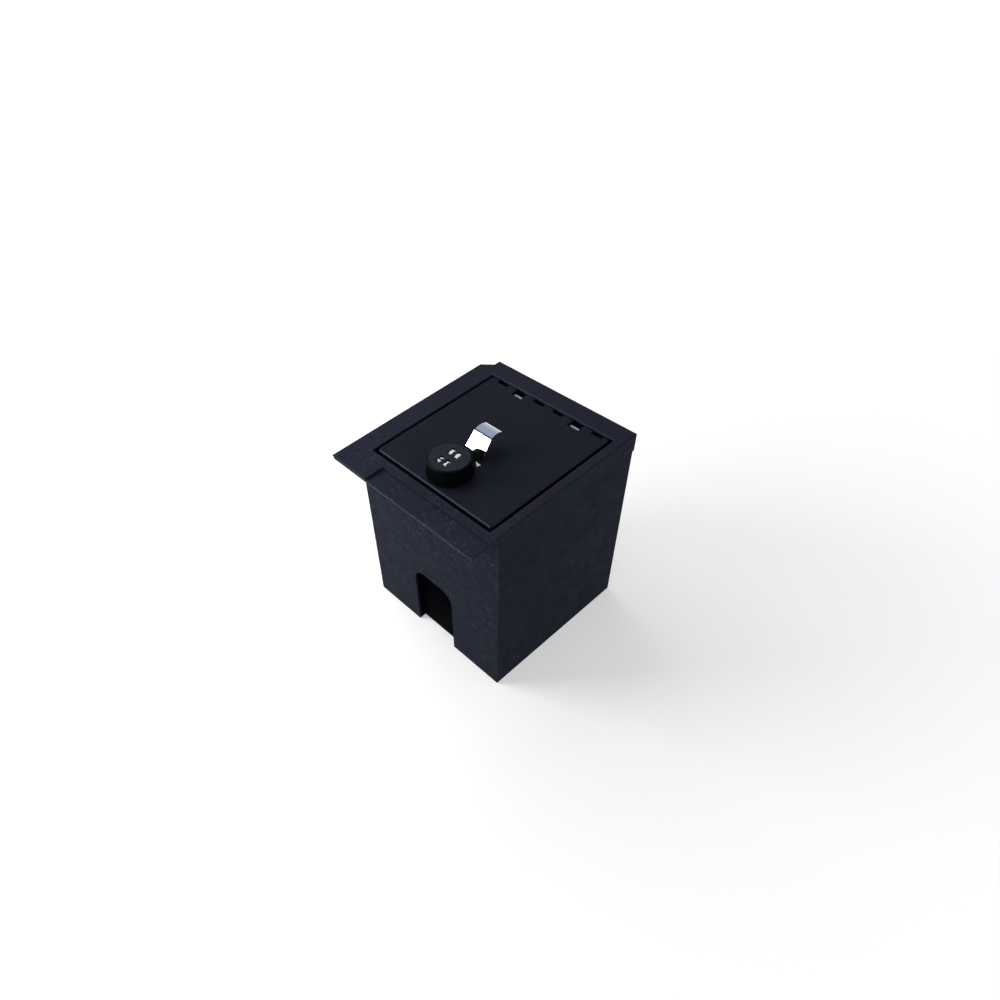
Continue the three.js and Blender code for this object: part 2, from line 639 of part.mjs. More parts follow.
// Finger pull: an eye round the housing, a neck, and a blade bent up, creased and curled over.
function fingerPull() {
  const path = [[0, 0], [PULL_FLAT, 0]];
  let [y, z] = path[1];
  let heading = 0;
  const bend = (radius, turn, steps = round.bend) => {
    const side = Math.sign(turn);
    for (let step = 0; step < steps; step += 1) {
      const next = heading + radians(turn) / steps;
      y += side * radius * (Math.sin(next) - Math.sin(heading));
      z -= side * radius * (Math.cos(next) - Math.cos(heading));
      heading = next;
      path.push([y, z]);
    }
  };
  const straight = (length) => {
    y += length * Math.cos(heading);
    z += length * Math.sin(heading);
    path.push([y, z]);
  };
  bend(PULL_FOOT_BEND, PULL_RAMP_ANGLE);
  straight(PULL_RAMP);
  const crease = y;
  bend(PULL_CREASE_BEND, -PULL_CREASE_ANGLE, round.crease);
  bend(PULL_CURL_BEND, -PULL_CURL_ANGLE);
  straight(PULL_TIP);
  const faces = path.map((point, i) => {
    const before = i === 0 ? direction(path[0], path[1]) : direction(path[i - 1], point);
    const after = i === path.length - 1 ? before : direction(point, path[i + 1]);
    const scale = PULL_SHEET / 2 / (1 + before[0] * after[0] + before[1] * after[1]);
    const normal = [-(before[1] + after[1]) * scale, (before[0] + after[0]) * scale];
    return { upper: [point[0] + normal[0], point[1] + normal[1]],
      lower: [point[0] - normal[0], point[1] - normal[1]] };
  });
  const middle = pullBottom + PULL_SHEET / 2;
  const profile = [...faces.map((face) => face.lower), ...faces.map((face) => face.upper).reverse()]
    .map(([along, up]) => [knob.y + along, middle + up]);
  const tip = Math.max(...profile.map(([along]) => along));
  const side = [
    [PULL_NECK_WIDTH, knob.y], [PULL_NECK_WIDTH, knob.y + PULL_NECK],
    [PULL_FOOT_WIDTH, knob.y + PULL_NECK + PULL_SHOULDER], [PULL_WIDTH, knob.y + crease],
    [PULL_TIP_WIDTH, tip, PULL_TIP_RADIUS],
  ];
  const outline = rounded([
    ...side.map(([width, along, radius]) => [knob.x + width / 2, along, radius]),
    ...side.map(([width, along, radius]) => [knob.x - width / 2, along, radius]).reverse(),
  ]);
  const hole = rodZ(knob.x, knob.y, HOUSING_RADIUS + HOUSING_CLEARANCE, HEIGHT, ringTop);
  return section(profile, knob.x - PULL_FOOT_WIDTH, knob.x + PULL_FOOT_WIDTH)
    .intersect(prism(outline, HEIGHT, HEIGHT + PULL_RAMP + PULL_CURL_BEND))
    .add(rodZ(knob.x, knob.y, PULL_EYE, pullBottom, pullBottom + PULL_SHEET))
    .subtract(hole);
}

// Small arrowhead on the lid that shows which way the knob turns to free it.
function turnMark() {
  const angle = radians(MARK_ANGLE);
  const outline = [
    [0, MARK_LENGTH * 2 / 3], [-MARK_WIDTH / 2, -MARK_LENGTH / 3], [MARK_WIDTH / 2, -MARK_LENGTH / 3],
  ].map(([out, along]) => [
    knob.x + (MARK_RADIUS + out) * Math.cos(angle) - along * Math.sin(angle),
    knob.y + (MARK_RADIUS + out) * Math.sin(angle) + along * Math.cos(angle),
  ]);
  return prism(outline, HEIGHT + GAP, HEIGHT + GAP + MARK_SHEET);
}

// Cup of the knob, with a cradle in it for the two axles.
function knobBody() {
  const cup = turned(knob.x, knob.y, [
    [0, knobBottom], [KNOB_RADIUS + KNOB_FLARE, knobBottom],
    [KNOB_RADIUS + KNOB_FLARE, knobBottom + KNOB_FLOOR],
    [KNOB_RADIUS, faceBottom - GAP], [cupInside, faceBottom - GAP],
    [cupInside, knobBottom + KNOB_FLOOR], [0, knobBottom + KNOB_FLOOR],
  ]);
  const cradle = [-1, 1].flatMap((side) => [-1, 1].map((row) => {
    const x = side * cradlePlace;
    const outer = x + side * CRADLE_SHEET;
    const reach = AXLE_RADIUS + AXLE_CLEARANCE + CRADLE_SHEET;
    return block(knob.x + Math.min(x, outer), knob.x + Math.max(x, outer),
      knob.y + row * rowPlace - reach, knob.y + row * rowPlace + reach,
      knobBottom + KNOB_FLOOR / 2, axleLevel + reach);
  }));
  const bores = [-1, 1].map((row) => rodX(knob.y + row * rowPlace, axleLevel,
    AXLE_RADIUS + AXLE_CLEARANCE, knob.x - cradlePlace - CRADLE_SHEET - CUT,
    knob.x + cradlePlace + CRADLE_SHEET + CUT, round.small));
  return joined([cup, ...cradle]).subtract(joined(bores));
}

function wheelPlaces() {
  return [1, -1].flatMap((row) => [-1, 1].map((column) => (
    { x: knob.x + column * columnPlace, y: knob.y + row * rowPlace })));
}

// Cap on the knob's cup, with a spigot down inside it and a window over each wheel.
function knobFace() {
  const chord = Math.sqrt(WHEEL_RADIUS ** 2 - (faceBottom - axleLevel) ** 2);
  const windows = wheelPlaces().map(({ x, y }) => block(
    x - WHEEL_WIDTH / 2 - WINDOW_SIDE_GAP, x + WHEEL_WIDTH / 2 + WINDOW_SIDE_GAP,
    y - chord - WINDOW_SIDE_GAP, y + chord + WINDOW_SIDE_GAP, faceBottom - CUT, knobTop + CUT));
  const spigot = cupInside - GAP;
  return turned(knob.x, knob.y, [
    [0, faceBottom], [spigot - SPIGOT_WALL, faceBottom], [spigot - SPIGOT_WALL, faceBottom - SPIGOT_DEPTH],
    [spigot, faceBottom - SPIGOT_DEPTH], [spigot, faceBottom], [KNOB_RADIUS, faceBottom],
    [KNOB_RADIUS, knobTop - KNOB_CHAMFER], [KNOB_RADIUS - KNOB_CHAMFER, knobTop], [0, knobTop],
  ]).subtract(joined(windows));
}

// Number wheel with a groove between each pair of its ten faces.
function numberWheel({ x, y }) {
  const outline = Array.from({ length: WHEEL_FACES * round.wheelStep }, (_, i) => {
    const radius = i % round.wheelStep === 0 ? WHEEL_RADIUS - WHEEL_GROOVE : WHEEL_RADIUS;
    const angle = (i + round.wheelStep / 2) * 2 * Math.PI / (WHEEL_FACES * round.wheelStep) + Math.PI / 2;
    return [y + radius * Math.cos(angle), axleLevel + radius * Math.sin(angle)];
  });
  return section(outline, x - WHEEL_WIDTH / 2, x + WHEEL_WIDTH / 2)
    .subtract(rodX(y, axleLevel, AXLE_RADIUS + AXLE_CLEARANCE,
      x - WHEEL_WIDTH, x + WHEEL_WIDTH, round.small));
}

function wheelAxle(row) {
  const reach = cradlePlace + CRADLE_SHEET;
  return rodX(knob.y + row * rowPlace, axleLevel, AXLE_RADIUS, knob.x - reach, knob.x + reach, round.small);
}

// Spindle: a round shaft through the housing, squared at its lower end for the cam.
function spindle() {
  const half = SPINDLE_SQUARE / 2;
  const square = block(knob.x - half, knob.x + half, knob.y - half, knob.y + half,
    camBottom + GAP, housingBottom + CUT);
  const tapped = rodZ(knob.x, knob.y, CAM_SCREW_RADIUS + GAP, camBottom - CUT,
    camBottom + CAM_SCREW_LENGTH + GAP, round.small);
  return rodZ(knob.x, knob.y, SPINDLE_RADIUS, housingBottom, knobBottom - GAP)
    .add(square).subtract(tapped);
}

// Cam on the spindle's square, pointing to the right while the lid is free.
function lockCam() {
  const half = CAM_WIDTH / 2;
  const hole = SPINDLE_SQUARE / 2 + GAP;
  const outline = rounded([
    [knob.x - half, knob.y - half, CAM_HUB_RADIUS], [knob.x + CAM_REACH, knob.y - half, CAM_TIP_RADIUS],
    [knob.x + CAM_REACH, knob.y + half, CAM_TIP_RADIUS], [knob.x - half, knob.y + half, CAM_HUB_RADIUS],
  ]);
  return prism(outline, camBottom, camTop).subtract(block(knob.x - hole, knob.x + hole,
    knob.y - hole, knob.y + hole, camBottom - CUT, camTop + CUT));
}

function camScrew() {
  const headTop = camBottom - GAP;
  return turned(knob.x, knob.y, [
    [0, headTop - CAM_SCREW_HEIGHT], [CAM_SCREW_CROWN, headTop - CAM_SCREW_HEIGHT],
    [CAM_SCREW_HEAD, headTop - CAM_SCREW_HEIGHT / 2], [CAM_SCREW_HEAD, headTop],
    [CAM_SCREW_RADIUS, headTop], [CAM_SCREW_RADIUS, camBottom + CAM_SCREW_LENGTH],
    [0, camBottom + CAM_SCREW_LENGTH],
  ], round.pin);
}

// Hexagonal nut that draws the housing up against the lid.
function lockNut() {
  const top = coverUnder - GAP - WASHER_SHEET - GAP;
  const sides = 6;
  const corner = NUT_FLATS / 2 / Math.cos(Math.PI / sides);
  return rodZ(knob.x, knob.y, corner, top - NUT_HEIGHT, top, sides)
    .subtract(rodZ(knob.x, knob.y, HOUSING_RADIUS + HOUSING_CLEARANCE, top - NUT_HEIGHT - CUT, top + CUT));
}

// Mat on the box's floor, stopped short of the pocket and pierced over the plugs.
function floorMat() {
  const outline = plan(skirtProud + PLATE + MAT_MARGIN, seatFront);
  const front = bodyFront + POCKET_DEPTH + PLATE + GAP;
  const holes = plugPlaces().map(([x, y]) => (
    rodZ(x, y, PLUG_HEAD + MAT_HOLE_GAP, 0, PLATE + MAT_SHEET + CUT)));
  return prism(outline, PLATE + GAP, PLATE + GAP + MAT_SHEET)
    .subtract(block(-coverHalf, coverHalf, bodyFront, front, 0, PLATE + MAT_SHEET + CUT))
    .subtract(joined(holes));
}

function plugPlaces() {
  return [-1, 1].flatMap((row) => [-1, 1].map((column) => (
    [column * PLUG_SPACING_X / 2, row * PLUG_SPACING_Y / 2])));
}

// Plug that closes a mounting hole in the bottom until a bolt goes through it.
function mountPlug([x, y]) {
  const seat = PLATE + GAP;
  return turned(x, y, [
    [0, GAP], [PLUG_RADIUS - GAP, GAP], [PLUG_RADIUS, 2 * GAP], [PLUG_RADIUS, seat],
    [PLUG_HEAD, seat], [PLUG_HEAD, seat + PLUG_HEAD_HEIGHT - PLUG_BEVEL],
    [PLUG_HEAD - PLUG_BEVEL, seat + PLUG_HEAD_HEIGHT], [0, seat + PLUG_HEAD_HEIGHT],
  ], round.pin);
}

// Body
add("body_shell", bodyShell(), steelTextured);
add("notch_pocket", notchPocket(), steelTextured);
add("front_ledge", frontLedge(), steelTextured);
add("top_cover", topCover(), steelBlack);
add("lid_seat", lidSeat(), steelBlack);
add("strike_plate", strikePlate(), zinc);
bumperPlaces().forEach(([x, y], i) => {
  const bottom = seatTop + GAP;
  const bumper = rodZ(x, y, BUMPER_RADIUS, bottom, bottom + BUMPER_THICKNESS, round.pin);
  add(`lid_bumper_${i + 1}`, bumper, rubber);
});
add("floor_mat", floorMat(), rubber);
plugPlaces().forEach((place, i) => add(`mount_plug_${i + 1}`, mountPlug(place), plasticBlack));

// Hinge
const leafTop = coverUnder - GAP;
add("hinge_leaf_body", fixedLeaf(), steelBlack);
SLEEVE_PLACES.forEach((place, i) => add(`hinge_sleeve_${i + 1}`, hingeSleeve(knucklePlaces[place]), zinc));
add("hinge_pin", hingePin(), zinc);
add("hinge_leaf_lid", lidLeaf(), steelBlack);
rivetPlaces(bodyRivetRow).forEach(([x, y], i) => (
  add(`body_leaf_rivet_${i + 1}`, rivet(x, y, leafTop - FIXED_LEAF_SHEET), zinc)));
rivetPlaces(lidRivetRow).forEach(([x, y], i) => (
  add(`lid_leaf_rivet_${i + 1}`, rivet(x, y, leafTop - LEAF_SHEET), zinc)));

// Lid
add("lid_plate", lidPlate(), steelBlack);
add("lid_rim", lidRim(), steelBlack);
add("lid_stiffener", lidStiffener(), steelBlack);
add("turn_mark", turnMark(), markWhite);
add("finger_pull", fingerPull(), chrome);

// Lock and knob
const housingBore = SPINDLE_RADIUS + HOUSING_CLEARANCE;
add("lock_housing", ringZ(knob.x, knob.y, HOUSING_RADIUS, housingBore, housingBottom, ringTop), zinc);
add("knob_base_ring", ringZ(knob.x, knob.y, RING_RADIUS, HOUSING_RADIUS + HOUSING_CLEARANCE,
  ringBottom, ringTop, round.knob), plasticBlack);
add("lock_washer", ringZ(knob.x, knob.y, WASHER_RADIUS, HOUSING_RADIUS + HOUSING_CLEARANCE,
  coverUnder - GAP - WASHER_SHEET, coverUnder - GAP), zinc);
add("lock_nut", lockNut(), zinc);
add("lock_spindle", spindle(), zinc);
add("lock_cam", lockCam(), zinc);
add("cam_screw", camScrew(), zinc);
add("knob_body", knobBody(), plasticBlack);
add("knob_face", knobFace(), plasticBlack);
wheelPlaces().forEach((place, i) => add(`number_wheel_${i + 1}`, numberWheel(place), wheelBlack));
[1, -1].forEach((row, i) => add(`wheel_axle_${i + 1}`, wheelAxle(row), zinc));

export default safe;
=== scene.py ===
"""Console safe: a deep powder-coated steel box with a flush hinged lid, a combination knob and a pull.

Metres, +Z up, +Y to the hinge. The origin is the centre of the box's underside.
"""
import json
import math
import bmesh
import bpy
import numpy as np
from mathutils import Matrix, Vector

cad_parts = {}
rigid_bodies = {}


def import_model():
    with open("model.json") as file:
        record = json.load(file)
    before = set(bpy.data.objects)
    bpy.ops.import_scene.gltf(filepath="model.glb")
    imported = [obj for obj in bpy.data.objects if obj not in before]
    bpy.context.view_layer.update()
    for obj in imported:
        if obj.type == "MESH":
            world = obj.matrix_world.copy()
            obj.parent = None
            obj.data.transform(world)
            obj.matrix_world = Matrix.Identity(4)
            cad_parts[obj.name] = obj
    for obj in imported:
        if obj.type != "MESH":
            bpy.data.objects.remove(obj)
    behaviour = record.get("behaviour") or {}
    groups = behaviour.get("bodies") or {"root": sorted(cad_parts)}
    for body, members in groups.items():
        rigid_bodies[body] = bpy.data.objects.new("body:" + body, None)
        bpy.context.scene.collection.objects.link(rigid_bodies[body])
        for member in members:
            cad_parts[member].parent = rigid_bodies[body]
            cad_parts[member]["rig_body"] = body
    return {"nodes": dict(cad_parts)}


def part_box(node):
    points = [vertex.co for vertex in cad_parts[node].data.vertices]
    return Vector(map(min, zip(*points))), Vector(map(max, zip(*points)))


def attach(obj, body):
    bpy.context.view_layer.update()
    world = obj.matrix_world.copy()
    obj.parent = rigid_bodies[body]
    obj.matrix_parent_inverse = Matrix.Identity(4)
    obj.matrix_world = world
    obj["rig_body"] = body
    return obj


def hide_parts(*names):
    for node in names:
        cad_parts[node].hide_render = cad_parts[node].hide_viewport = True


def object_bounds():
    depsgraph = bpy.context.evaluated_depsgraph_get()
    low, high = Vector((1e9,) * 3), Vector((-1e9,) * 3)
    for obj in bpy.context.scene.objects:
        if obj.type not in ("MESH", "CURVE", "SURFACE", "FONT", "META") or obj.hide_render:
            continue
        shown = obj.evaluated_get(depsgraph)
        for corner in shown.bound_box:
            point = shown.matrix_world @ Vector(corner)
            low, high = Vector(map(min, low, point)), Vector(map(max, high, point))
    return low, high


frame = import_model()
steel = frame["nodes"]
cad_low, cad_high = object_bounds()
MM = 0.001


# Box walls and bottom. One blank of 12 gauge steel, folded up and welded at the corners, with the
# arched notch and the bolt holes cut first. It is sprayed with black powder, which is thick and wrinkled
# on the front wall, most of all at its upper right, and lies smoother on the sides and the back.
WELDED = 0.001 * MM
FLAT_DEGREES = 0.5


def placed(name, data):
    """A new object in the scene."""
    piece = bpy.data.objects.new(name, data)
    bpy.context.scene.collection.objects.link(piece)
    return piece


def dressed(node, name, finish, edge, steps=3, sharp=25):
    """A welded copy of a solid with its sharp edges eased, which takes the solid's place on its body."""
    form = bmesh.new()
    form.from_mesh(steel[node].data)
    bmesh.ops.remove_doubles(form, verts=form.verts, dist=WELDED)
    bmesh.ops.dissolve_limit(form, angle_limit=math.radians(FLAT_DEGREES),
                             verts=form.verts, edges=form.edges)
    for face in form.faces:
        face.smooth = True
    mesh = bpy.data.meshes.new(name)
    form.to_mesh(mesh)
    form.free()
    mesh.materials.clear()
    mesh.materials.append(finish)
    piece = placed(name, mesh)
    bend = piece.modifiers.new("eased_edges", "BEVEL")
    bend.width = edge
    bend.segments = steps
    bend.limit_method = "ANGLE"
    bend.angle_limit = math.radians(sharp)
    bend.miter_outer = "MITER_ARC"
    piece.modifiers.new("flat_faces", "WEIGHTED_NORMAL").keep_sharp = True
    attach(piece, steel[node]["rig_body"])
    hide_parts(node)


def finish_of(node, finish):
    """A solid that keeps its own shape gets its finish."""
    steel[node].data.materials.clear()
    steel[node].data.materials.append(finish)


def added(tree, kind, inputs, place=(0, 0), **settings):
    """A new node with its settings; each input is linked to a socket or gets a fixed value."""
    node = tree.nodes.new(kind)
    node.location = place
    for setting, value in settings.items():
        setattr(node, setting, value)
    for socket, value in inputs.items():
        if isinstance(value, bpy.types.NodeSocket):
            tree.links.new(value, node.inputs[socket])
        else:
            node.inputs[socket].default_value = value
    return node


def worked(tree, operation, a, b, place=(0, 0)):
    """One step of arithmetic; MULTIPLY_ADD adds 1."""
    return added(tree, "ShaderNodeMath", {0: a, 1: b, 2: 1}, place, operation=operation).outputs[0]


def vector_worked(tree, operation, place, *inputs):
    """One step of arithmetic with positions or colours; LENGTH gives one number."""
    step = added(tree, "ShaderNodeVectorMath", dict(enumerate(inputs)), place, operation=operation)
    return step.outputs["Value" if operation == "LENGTH" else "Vector"]


def spread(tree, value, first, last, place, at_first=0, at_last=1, kind="LINEAR"):
    """A value that runs between two results while another runs from first to last."""
    return added(tree, "ShaderNodeMapRange", {
        "Value": value, "From Min": first, "From Max": last, "To Min": at_first, "To Max": at_last},
        place, interpolation_type=kind).outputs["Result"]


NOISE_SPAN = (0.3, 0.7)


def spots(tree, at, size, detail, low, high, place):
    """A noise pattern of a real size in metres, spread between two grey values."""
    noise = added(tree, "ShaderNodeTexNoise", {"Vector": at, "Scale": 1 / size, "Detail": detail}, place)
    return spread(tree, noise.outputs["Fac"], *NOISE_SPAN, (place[0] + 180, place[1]), low, high)


def fade(tree, at, axis, first, last, place, at_first=0, at_last=1):
    """A value that runs from at_first to at_last between two places along an axis of the piece."""
    parts = added(tree, "ShaderNodeSeparateXYZ", {0: at}, place)
    return spread(tree, parts.outputs[axis], first, last, (place[0] + 180, place[1]), at_first, at_last)


def start_finish(name):
    """An empty finish: its tree, its shader and the position on the piece."""
    finish = bpy.data.materials.new(name)
    finish.use_nodes = True
    tree = finish.node_tree
    shader = tree.nodes["Principled BSDF"]
    shader.location = (900, 0)
    return finish, tree, shader, added(tree, "ShaderNodeTexCoord", {}, (-900, 0)).outputs["Object"]


def mixed(tree, a, b, factor, place=(0, 0), blend="MIX"):
    """Two colours mixed by a grey value; each is a socket or red, green and blue."""
    ends = {label: value if isinstance(value, bpy.types.NodeSocket) else (*value, 1)
            for label, value in (("A", a), ("B", b))}
    return added(tree, "ShaderNodeMix", {"Factor": factor, **ends}, place,
                 data_type="RGBA", blend_type=blend).outputs["Result"]


def tinted(tree, shader, colour, shade, place):
    """The finish's colour, made lighter and darker by a grey pattern round 1."""
    tree.links.new(mixed(tree, colour, shade, 1, place, blend="MULTIPLY"), shader.inputs["Base Color"])


def raised(tree, shader, height, depth, place, under=None):
    """Relief of a real depth, laid over another relief if there is one."""
    inputs = {"Strength": 1, "Distance": depth, "Height": height}
    if under is not None:
        inputs["Normal"] = under
    bump = added(tree, "ShaderNodeBump", inputs, place)
    tree.links.new(bump.outputs["Normal"], shader.inputs["Normal"])
    return bump.outputs["Normal"]


def worn_edge(tree, at, low, high, full, none, place):
    """1 along the outline of an upright box and 0 away from it, to paint an edge highlight; distances
    count outwards.
    """
    x, y = place
    from_middle = vector_worked(tree, "SUBTRACT", (x, y), at, (low + high) / 2)
    reach = vector_worked(tree, "ABSOLUTE", (x + 180, y), from_middle)
    outward = vector_worked(tree, "SUBTRACT", (x + 360, y), reach, (high - low) / 2)
    parts = added(tree, "ShaderNodeSeparateXYZ", {0: outward}, (x + 540, y))
    nearest = worked(tree, "MAXIMUM", parts.outputs["X"], parts.outputs["Y"], (x + 720, y))
    return spread(tree, nearest, none, full, (x + 900, y))


POWDER_IOR = 1.1
WRINKLE_BENDS = 0.4
WRINKLE_STRAY = 1.6
CELL_BLEND = 0.7
RIDGE_LENGTH = 0.95
RIDGE_WIDTH = 0.17
RIDGE_HEIGHT = 2
RIDGE_HIGHLIGHT = 2.2
RIDGE_PATCH = 24 * MM
PATCH_SPAN = (0.2, 1)
PATCH_CONTRAST = 1.5
SOFT_LEAST = 0.3
PEEL_SIZE = 0.14
PEEL_DEPTH = 0.15
CLOUD_SIZE = 45 * MM
CLOUD_TONES = (0.94, 1.06)
TONE_BORDER = 0.3 * MM
SHINE_SIZE = 1.5
SHINE_SPREAD = 0.07


def powder_coat(name, colour, wrinkle, depth, roughness, ridged=(), edge_highlights=(), skirt=None):
    """Baked powder: thin winding ridges in patches over a soft relief and a fine orange peel.

    Each entry of ridged says how strong the ridges are at two places along an axis; the ridge crests are
    also painted lighter, as painted highlights. Each outline among the edge entries has its edges painted
    lighter, as a painted edge highlight, and a skirt has a colour of its own below a height.
    """
    finish, tree, shader, at = start_finish(name)
    shader.inputs["IOR"].default_value = POWDER_IOR
    strength = 1
    for row, (axis, first, last, at_first, at_last) in enumerate(ridged):
        here = fade(tree, at, axis, first, last, (-500, 1100 + 200 * row), at_first, at_last)
        strength = worked(tree, "MULTIPLY", here, strength, (-120, 1100 + 200 * row))

    bends = added(tree, "ShaderNodeTexNoise", {
        "Vector": at, "Scale": WRINKLE_BENDS / wrinkle, "Detail": 3}, (-860, -350))
    wavy = vector_worked(tree, "MULTIPLY_ADD", (-680, -200), bends.outputs["Color"],
                         (wrinkle * WRINKLE_STRAY,) * 3, at)
    cells = added(tree, "ShaderNodeTexVoronoi", {
        "Vector": wavy, "Scale": 1 / wrinkle, "Smoothness": CELL_BLEND}, (-500, -200), feature="SMOOTH_F1")

    winding = spots(tree, wavy, wrinkle * RIDGE_LENGTH, 2, -1, 1, (-900, 700))
    from_line = worked(tree, "ABSOLUTE", winding, 0, (-480, 700))
    line = spread(tree, from_line, RIDGE_WIDTH, 0, (-300, 700), kind="SMOOTHSTEP")
    patch = spots(tree, at, RIDGE_PATCH, 3, *PATCH_SPAN, (-900, 900))
    patch = worked(tree, "POWER", patch, PATCH_CONTRAST, (-480, 900))
    ridge = worked(tree, "MULTIPLY", line, patch, (-120, 800))
    ridge = worked(tree, "MULTIPLY", ridge, strength, (60, 900))

    softness = worked(tree, "MAXIMUM", strength, SOFT_LEAST, (60, -100))
    swell = worked(tree, "MULTIPLY", cells.outputs["Distance"], softness, (240, -200))
    peel = spots(tree, at, wrinkle * PEEL_SIZE, 2, 0, 1, (-500, -520))
    soft = raised(tree, shader, swell, depth, (400, -300))
    crisp = raised(tree, shader, ridge, depth * RIDGE_HEIGHT, (560, -300), under=soft)
    raised(tree, shader, peel, depth * PEEL_DEPTH, (720, -300), under=crisp)

    cloud = spots(tree, at, CLOUD_SIZE, 4, *CLOUD_TONES, (-500, 300))
    # Painted highlight: the ridge crests are made lighter, standing in for the light they catch.
    lighter = worked(tree, "MULTIPLY_ADD", ridge, RIDGE_HIGHLIGHT, (120, 500))
    shade = worked(tree, "MULTIPLY", cloud, lighter, (200, 350))
    # Painted edge highlight: each outline's edges are made lighter, standing in for the light they catch.
    for row, (low, high, full, none, gain) in enumerate(edge_highlights):
        edge = worn_edge(tree, at, low, high, full, none, (-900, 1700 + 300 * row))
        painted_light = worked(tree, "MULTIPLY_ADD", edge, gain - 1, (160, 1700 + 300 * row))
        shade = worked(tree, "MULTIPLY", shade, painted_light, (260, 500 + 200 * row))
    if skirt:
        border, lower = skirt
        below = fade(tree, at, "Z", border - TONE_BORDER, border, (-300, 1500), 1, 0)
        colour = mixed(tree, colour, lower, below, (160, 650))
    tinted(tree, shader, colour, shade, (340, 250))
    dull = spots(tree, at, wrinkle * SHINE_SIZE, 2, roughness - SHINE_SPREAD, roughness + SHINE_SPREAD,
                 (-500, 60))
    tree.links.new(dull, shader.inputs["Roughness"])
    return finish


WALL_EDGE = 0.7 * MM
WALL_ROUGHNESS = 0.62
WRINKLE_BLACK = (0.0138, 0.0160, 0.0285)
WRINKLE_SIZE = 7.0 * MM
WRINKLE_DEPTH = 0.34 * MM
LEDGE_REACH = 33 * MM
front_y = cad_low.y + LEDGE_REACH
wall_ridges = (("Y", front_y + 0.5 * MM, front_y + 2 * MM, 1.7, 0.04), ("Z", 50 * MM, 140 * MM, 0.3, 1),
               ("X", -90 * MM, 20 * MM, 0.45, 1))
wrinkle_coat = powder_coat("wrinkle_powder", WRINKLE_BLACK, WRINKLE_SIZE, WRINKLE_DEPTH, WALL_ROUGHNESS,
                           ridged=wall_ridges)
dressed("body_shell", "box_walls", wrinkle_coat, WALL_EDGE)


# Pocket behind the notch. A shallow folded pan, welded inside the front wall so that the safe can stand
# over a hump of the console. It is flat black, coloured far darker than the walls as painted shade in the
# deep pocket, and the painted shade lifts a little toward the floor.
PAN_EDGE = 0.5 * MM
PAN_SHADED_BLACK = (0.0010, 0.0013, 0.0018)
PAN_LESS_SHADED = (0.0060, 0.0058, 0.0070)
PAN_IOR = 1.03
PAN_ROUGHNESS = 0.8
SHADE_LEAST_AT = 4 * MM
SHADE_FULL_AT = 62 * MM
SHADE_DRIFT_SIZE = 6 * MM
SHADE_DRIFT_SPAN = (0.6, 1)
GRIT_SIZE = 0.6 * MM
GRIT_DEPTH = 0.03 * MM
pan_paint, tree, shader, at = start_finish("pan_paint")
shader.inputs["IOR"].default_value = PAN_IOR
shader.inputs["Roughness"].default_value = PAN_ROUGHNESS
# Painted shade: darkest up the pocket and a little lighter toward the floor, where less shade falls from
# above.
low_down = fade(tree, at, "Z", SHADE_LEAST_AT, SHADE_FULL_AT, (-300, 300), 1, 0)
drift = spots(tree, at, SHADE_DRIFT_SIZE, 3, *SHADE_DRIFT_SPAN, (-300, 100))
less_shaded = worked(tree, "MULTIPLY", low_down, drift, (200, 200))
tree.links.new(mixed(tree, PAN_SHADED_BLACK, PAN_LESS_SHADED, less_shaded, (500, 200)), shader.inputs["Base Color"])
raised(tree, shader, spots(tree, at, GRIT_SIZE, 2, 0, 1, (-300, -200)), GRIT_DEPTH, (600, -200))
dressed("notch_pocket", "notch_pan", pan_paint, PAN_EDGE)


# Front ledge. A flat strip of the same sheet, welded under the cover's front edge. Its laser-cut edges
# are only lightly broken and the powder rounds them. Its upward face gets a lighter black than the walls'
# same powder, as painted light, and its front edge is painted lighter still as a painted highlight.
LEDGE_EDGE = 0.45 * MM
LEDGE_ROUGHNESS = 0.6
# Painted light: the ledge's upward face gets a lighter black than the walls' same powder, and its front
# edge is painted lighter still as a painted highlight.
LEDGE_LIT_BLACK = (0.0200, 0.0220, 0.0365)
LEDGE_EDGE_HIGHLIGHT = (-0.1 * MM, -0.6 * MM, 2.0)
ledge_low, ledge_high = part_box("front_ledge")


def behind(front):
    """The corners of a box so large that only its front side is near the safe."""
    return Vector((-1, front, 0)), Vector((1, 1, 1))


ledge_coat = powder_coat("ledge_powder", LEDGE_LIT_BLACK, WRINKLE_SIZE, WRINKLE_DEPTH, LEDGE_ROUGHNESS,
                         ridged=(("X", -90 * MM, 30 * MM, 0.5, 0.9),),
                         edge_highlights=((*behind(ledge_low.y), *LEDGE_EDGE_HIGHLIGHT),))
dressed("front_ledge", "ledge", ledge_coat, LEDGE_EDGE, steps=2)


# Top cover. A flat sheet with the lid opening cut in it, its left, right and back edges folded down over
# the box. The powder is wrinkled at its front and runs out smooth toward the back. Its top gets a lighter
# black than the folded skirts, which are as dark as the walls, as painted light on the upward face, and
# the edges round the opening are painted lighter still as a painted highlight.
COVER_EDGE = 0.4 * MM
COVER_WRINKLE = 6 * MM
COVER_DEPTH = 0.20 * MM
COVER_ROUGHNESS = 0.58
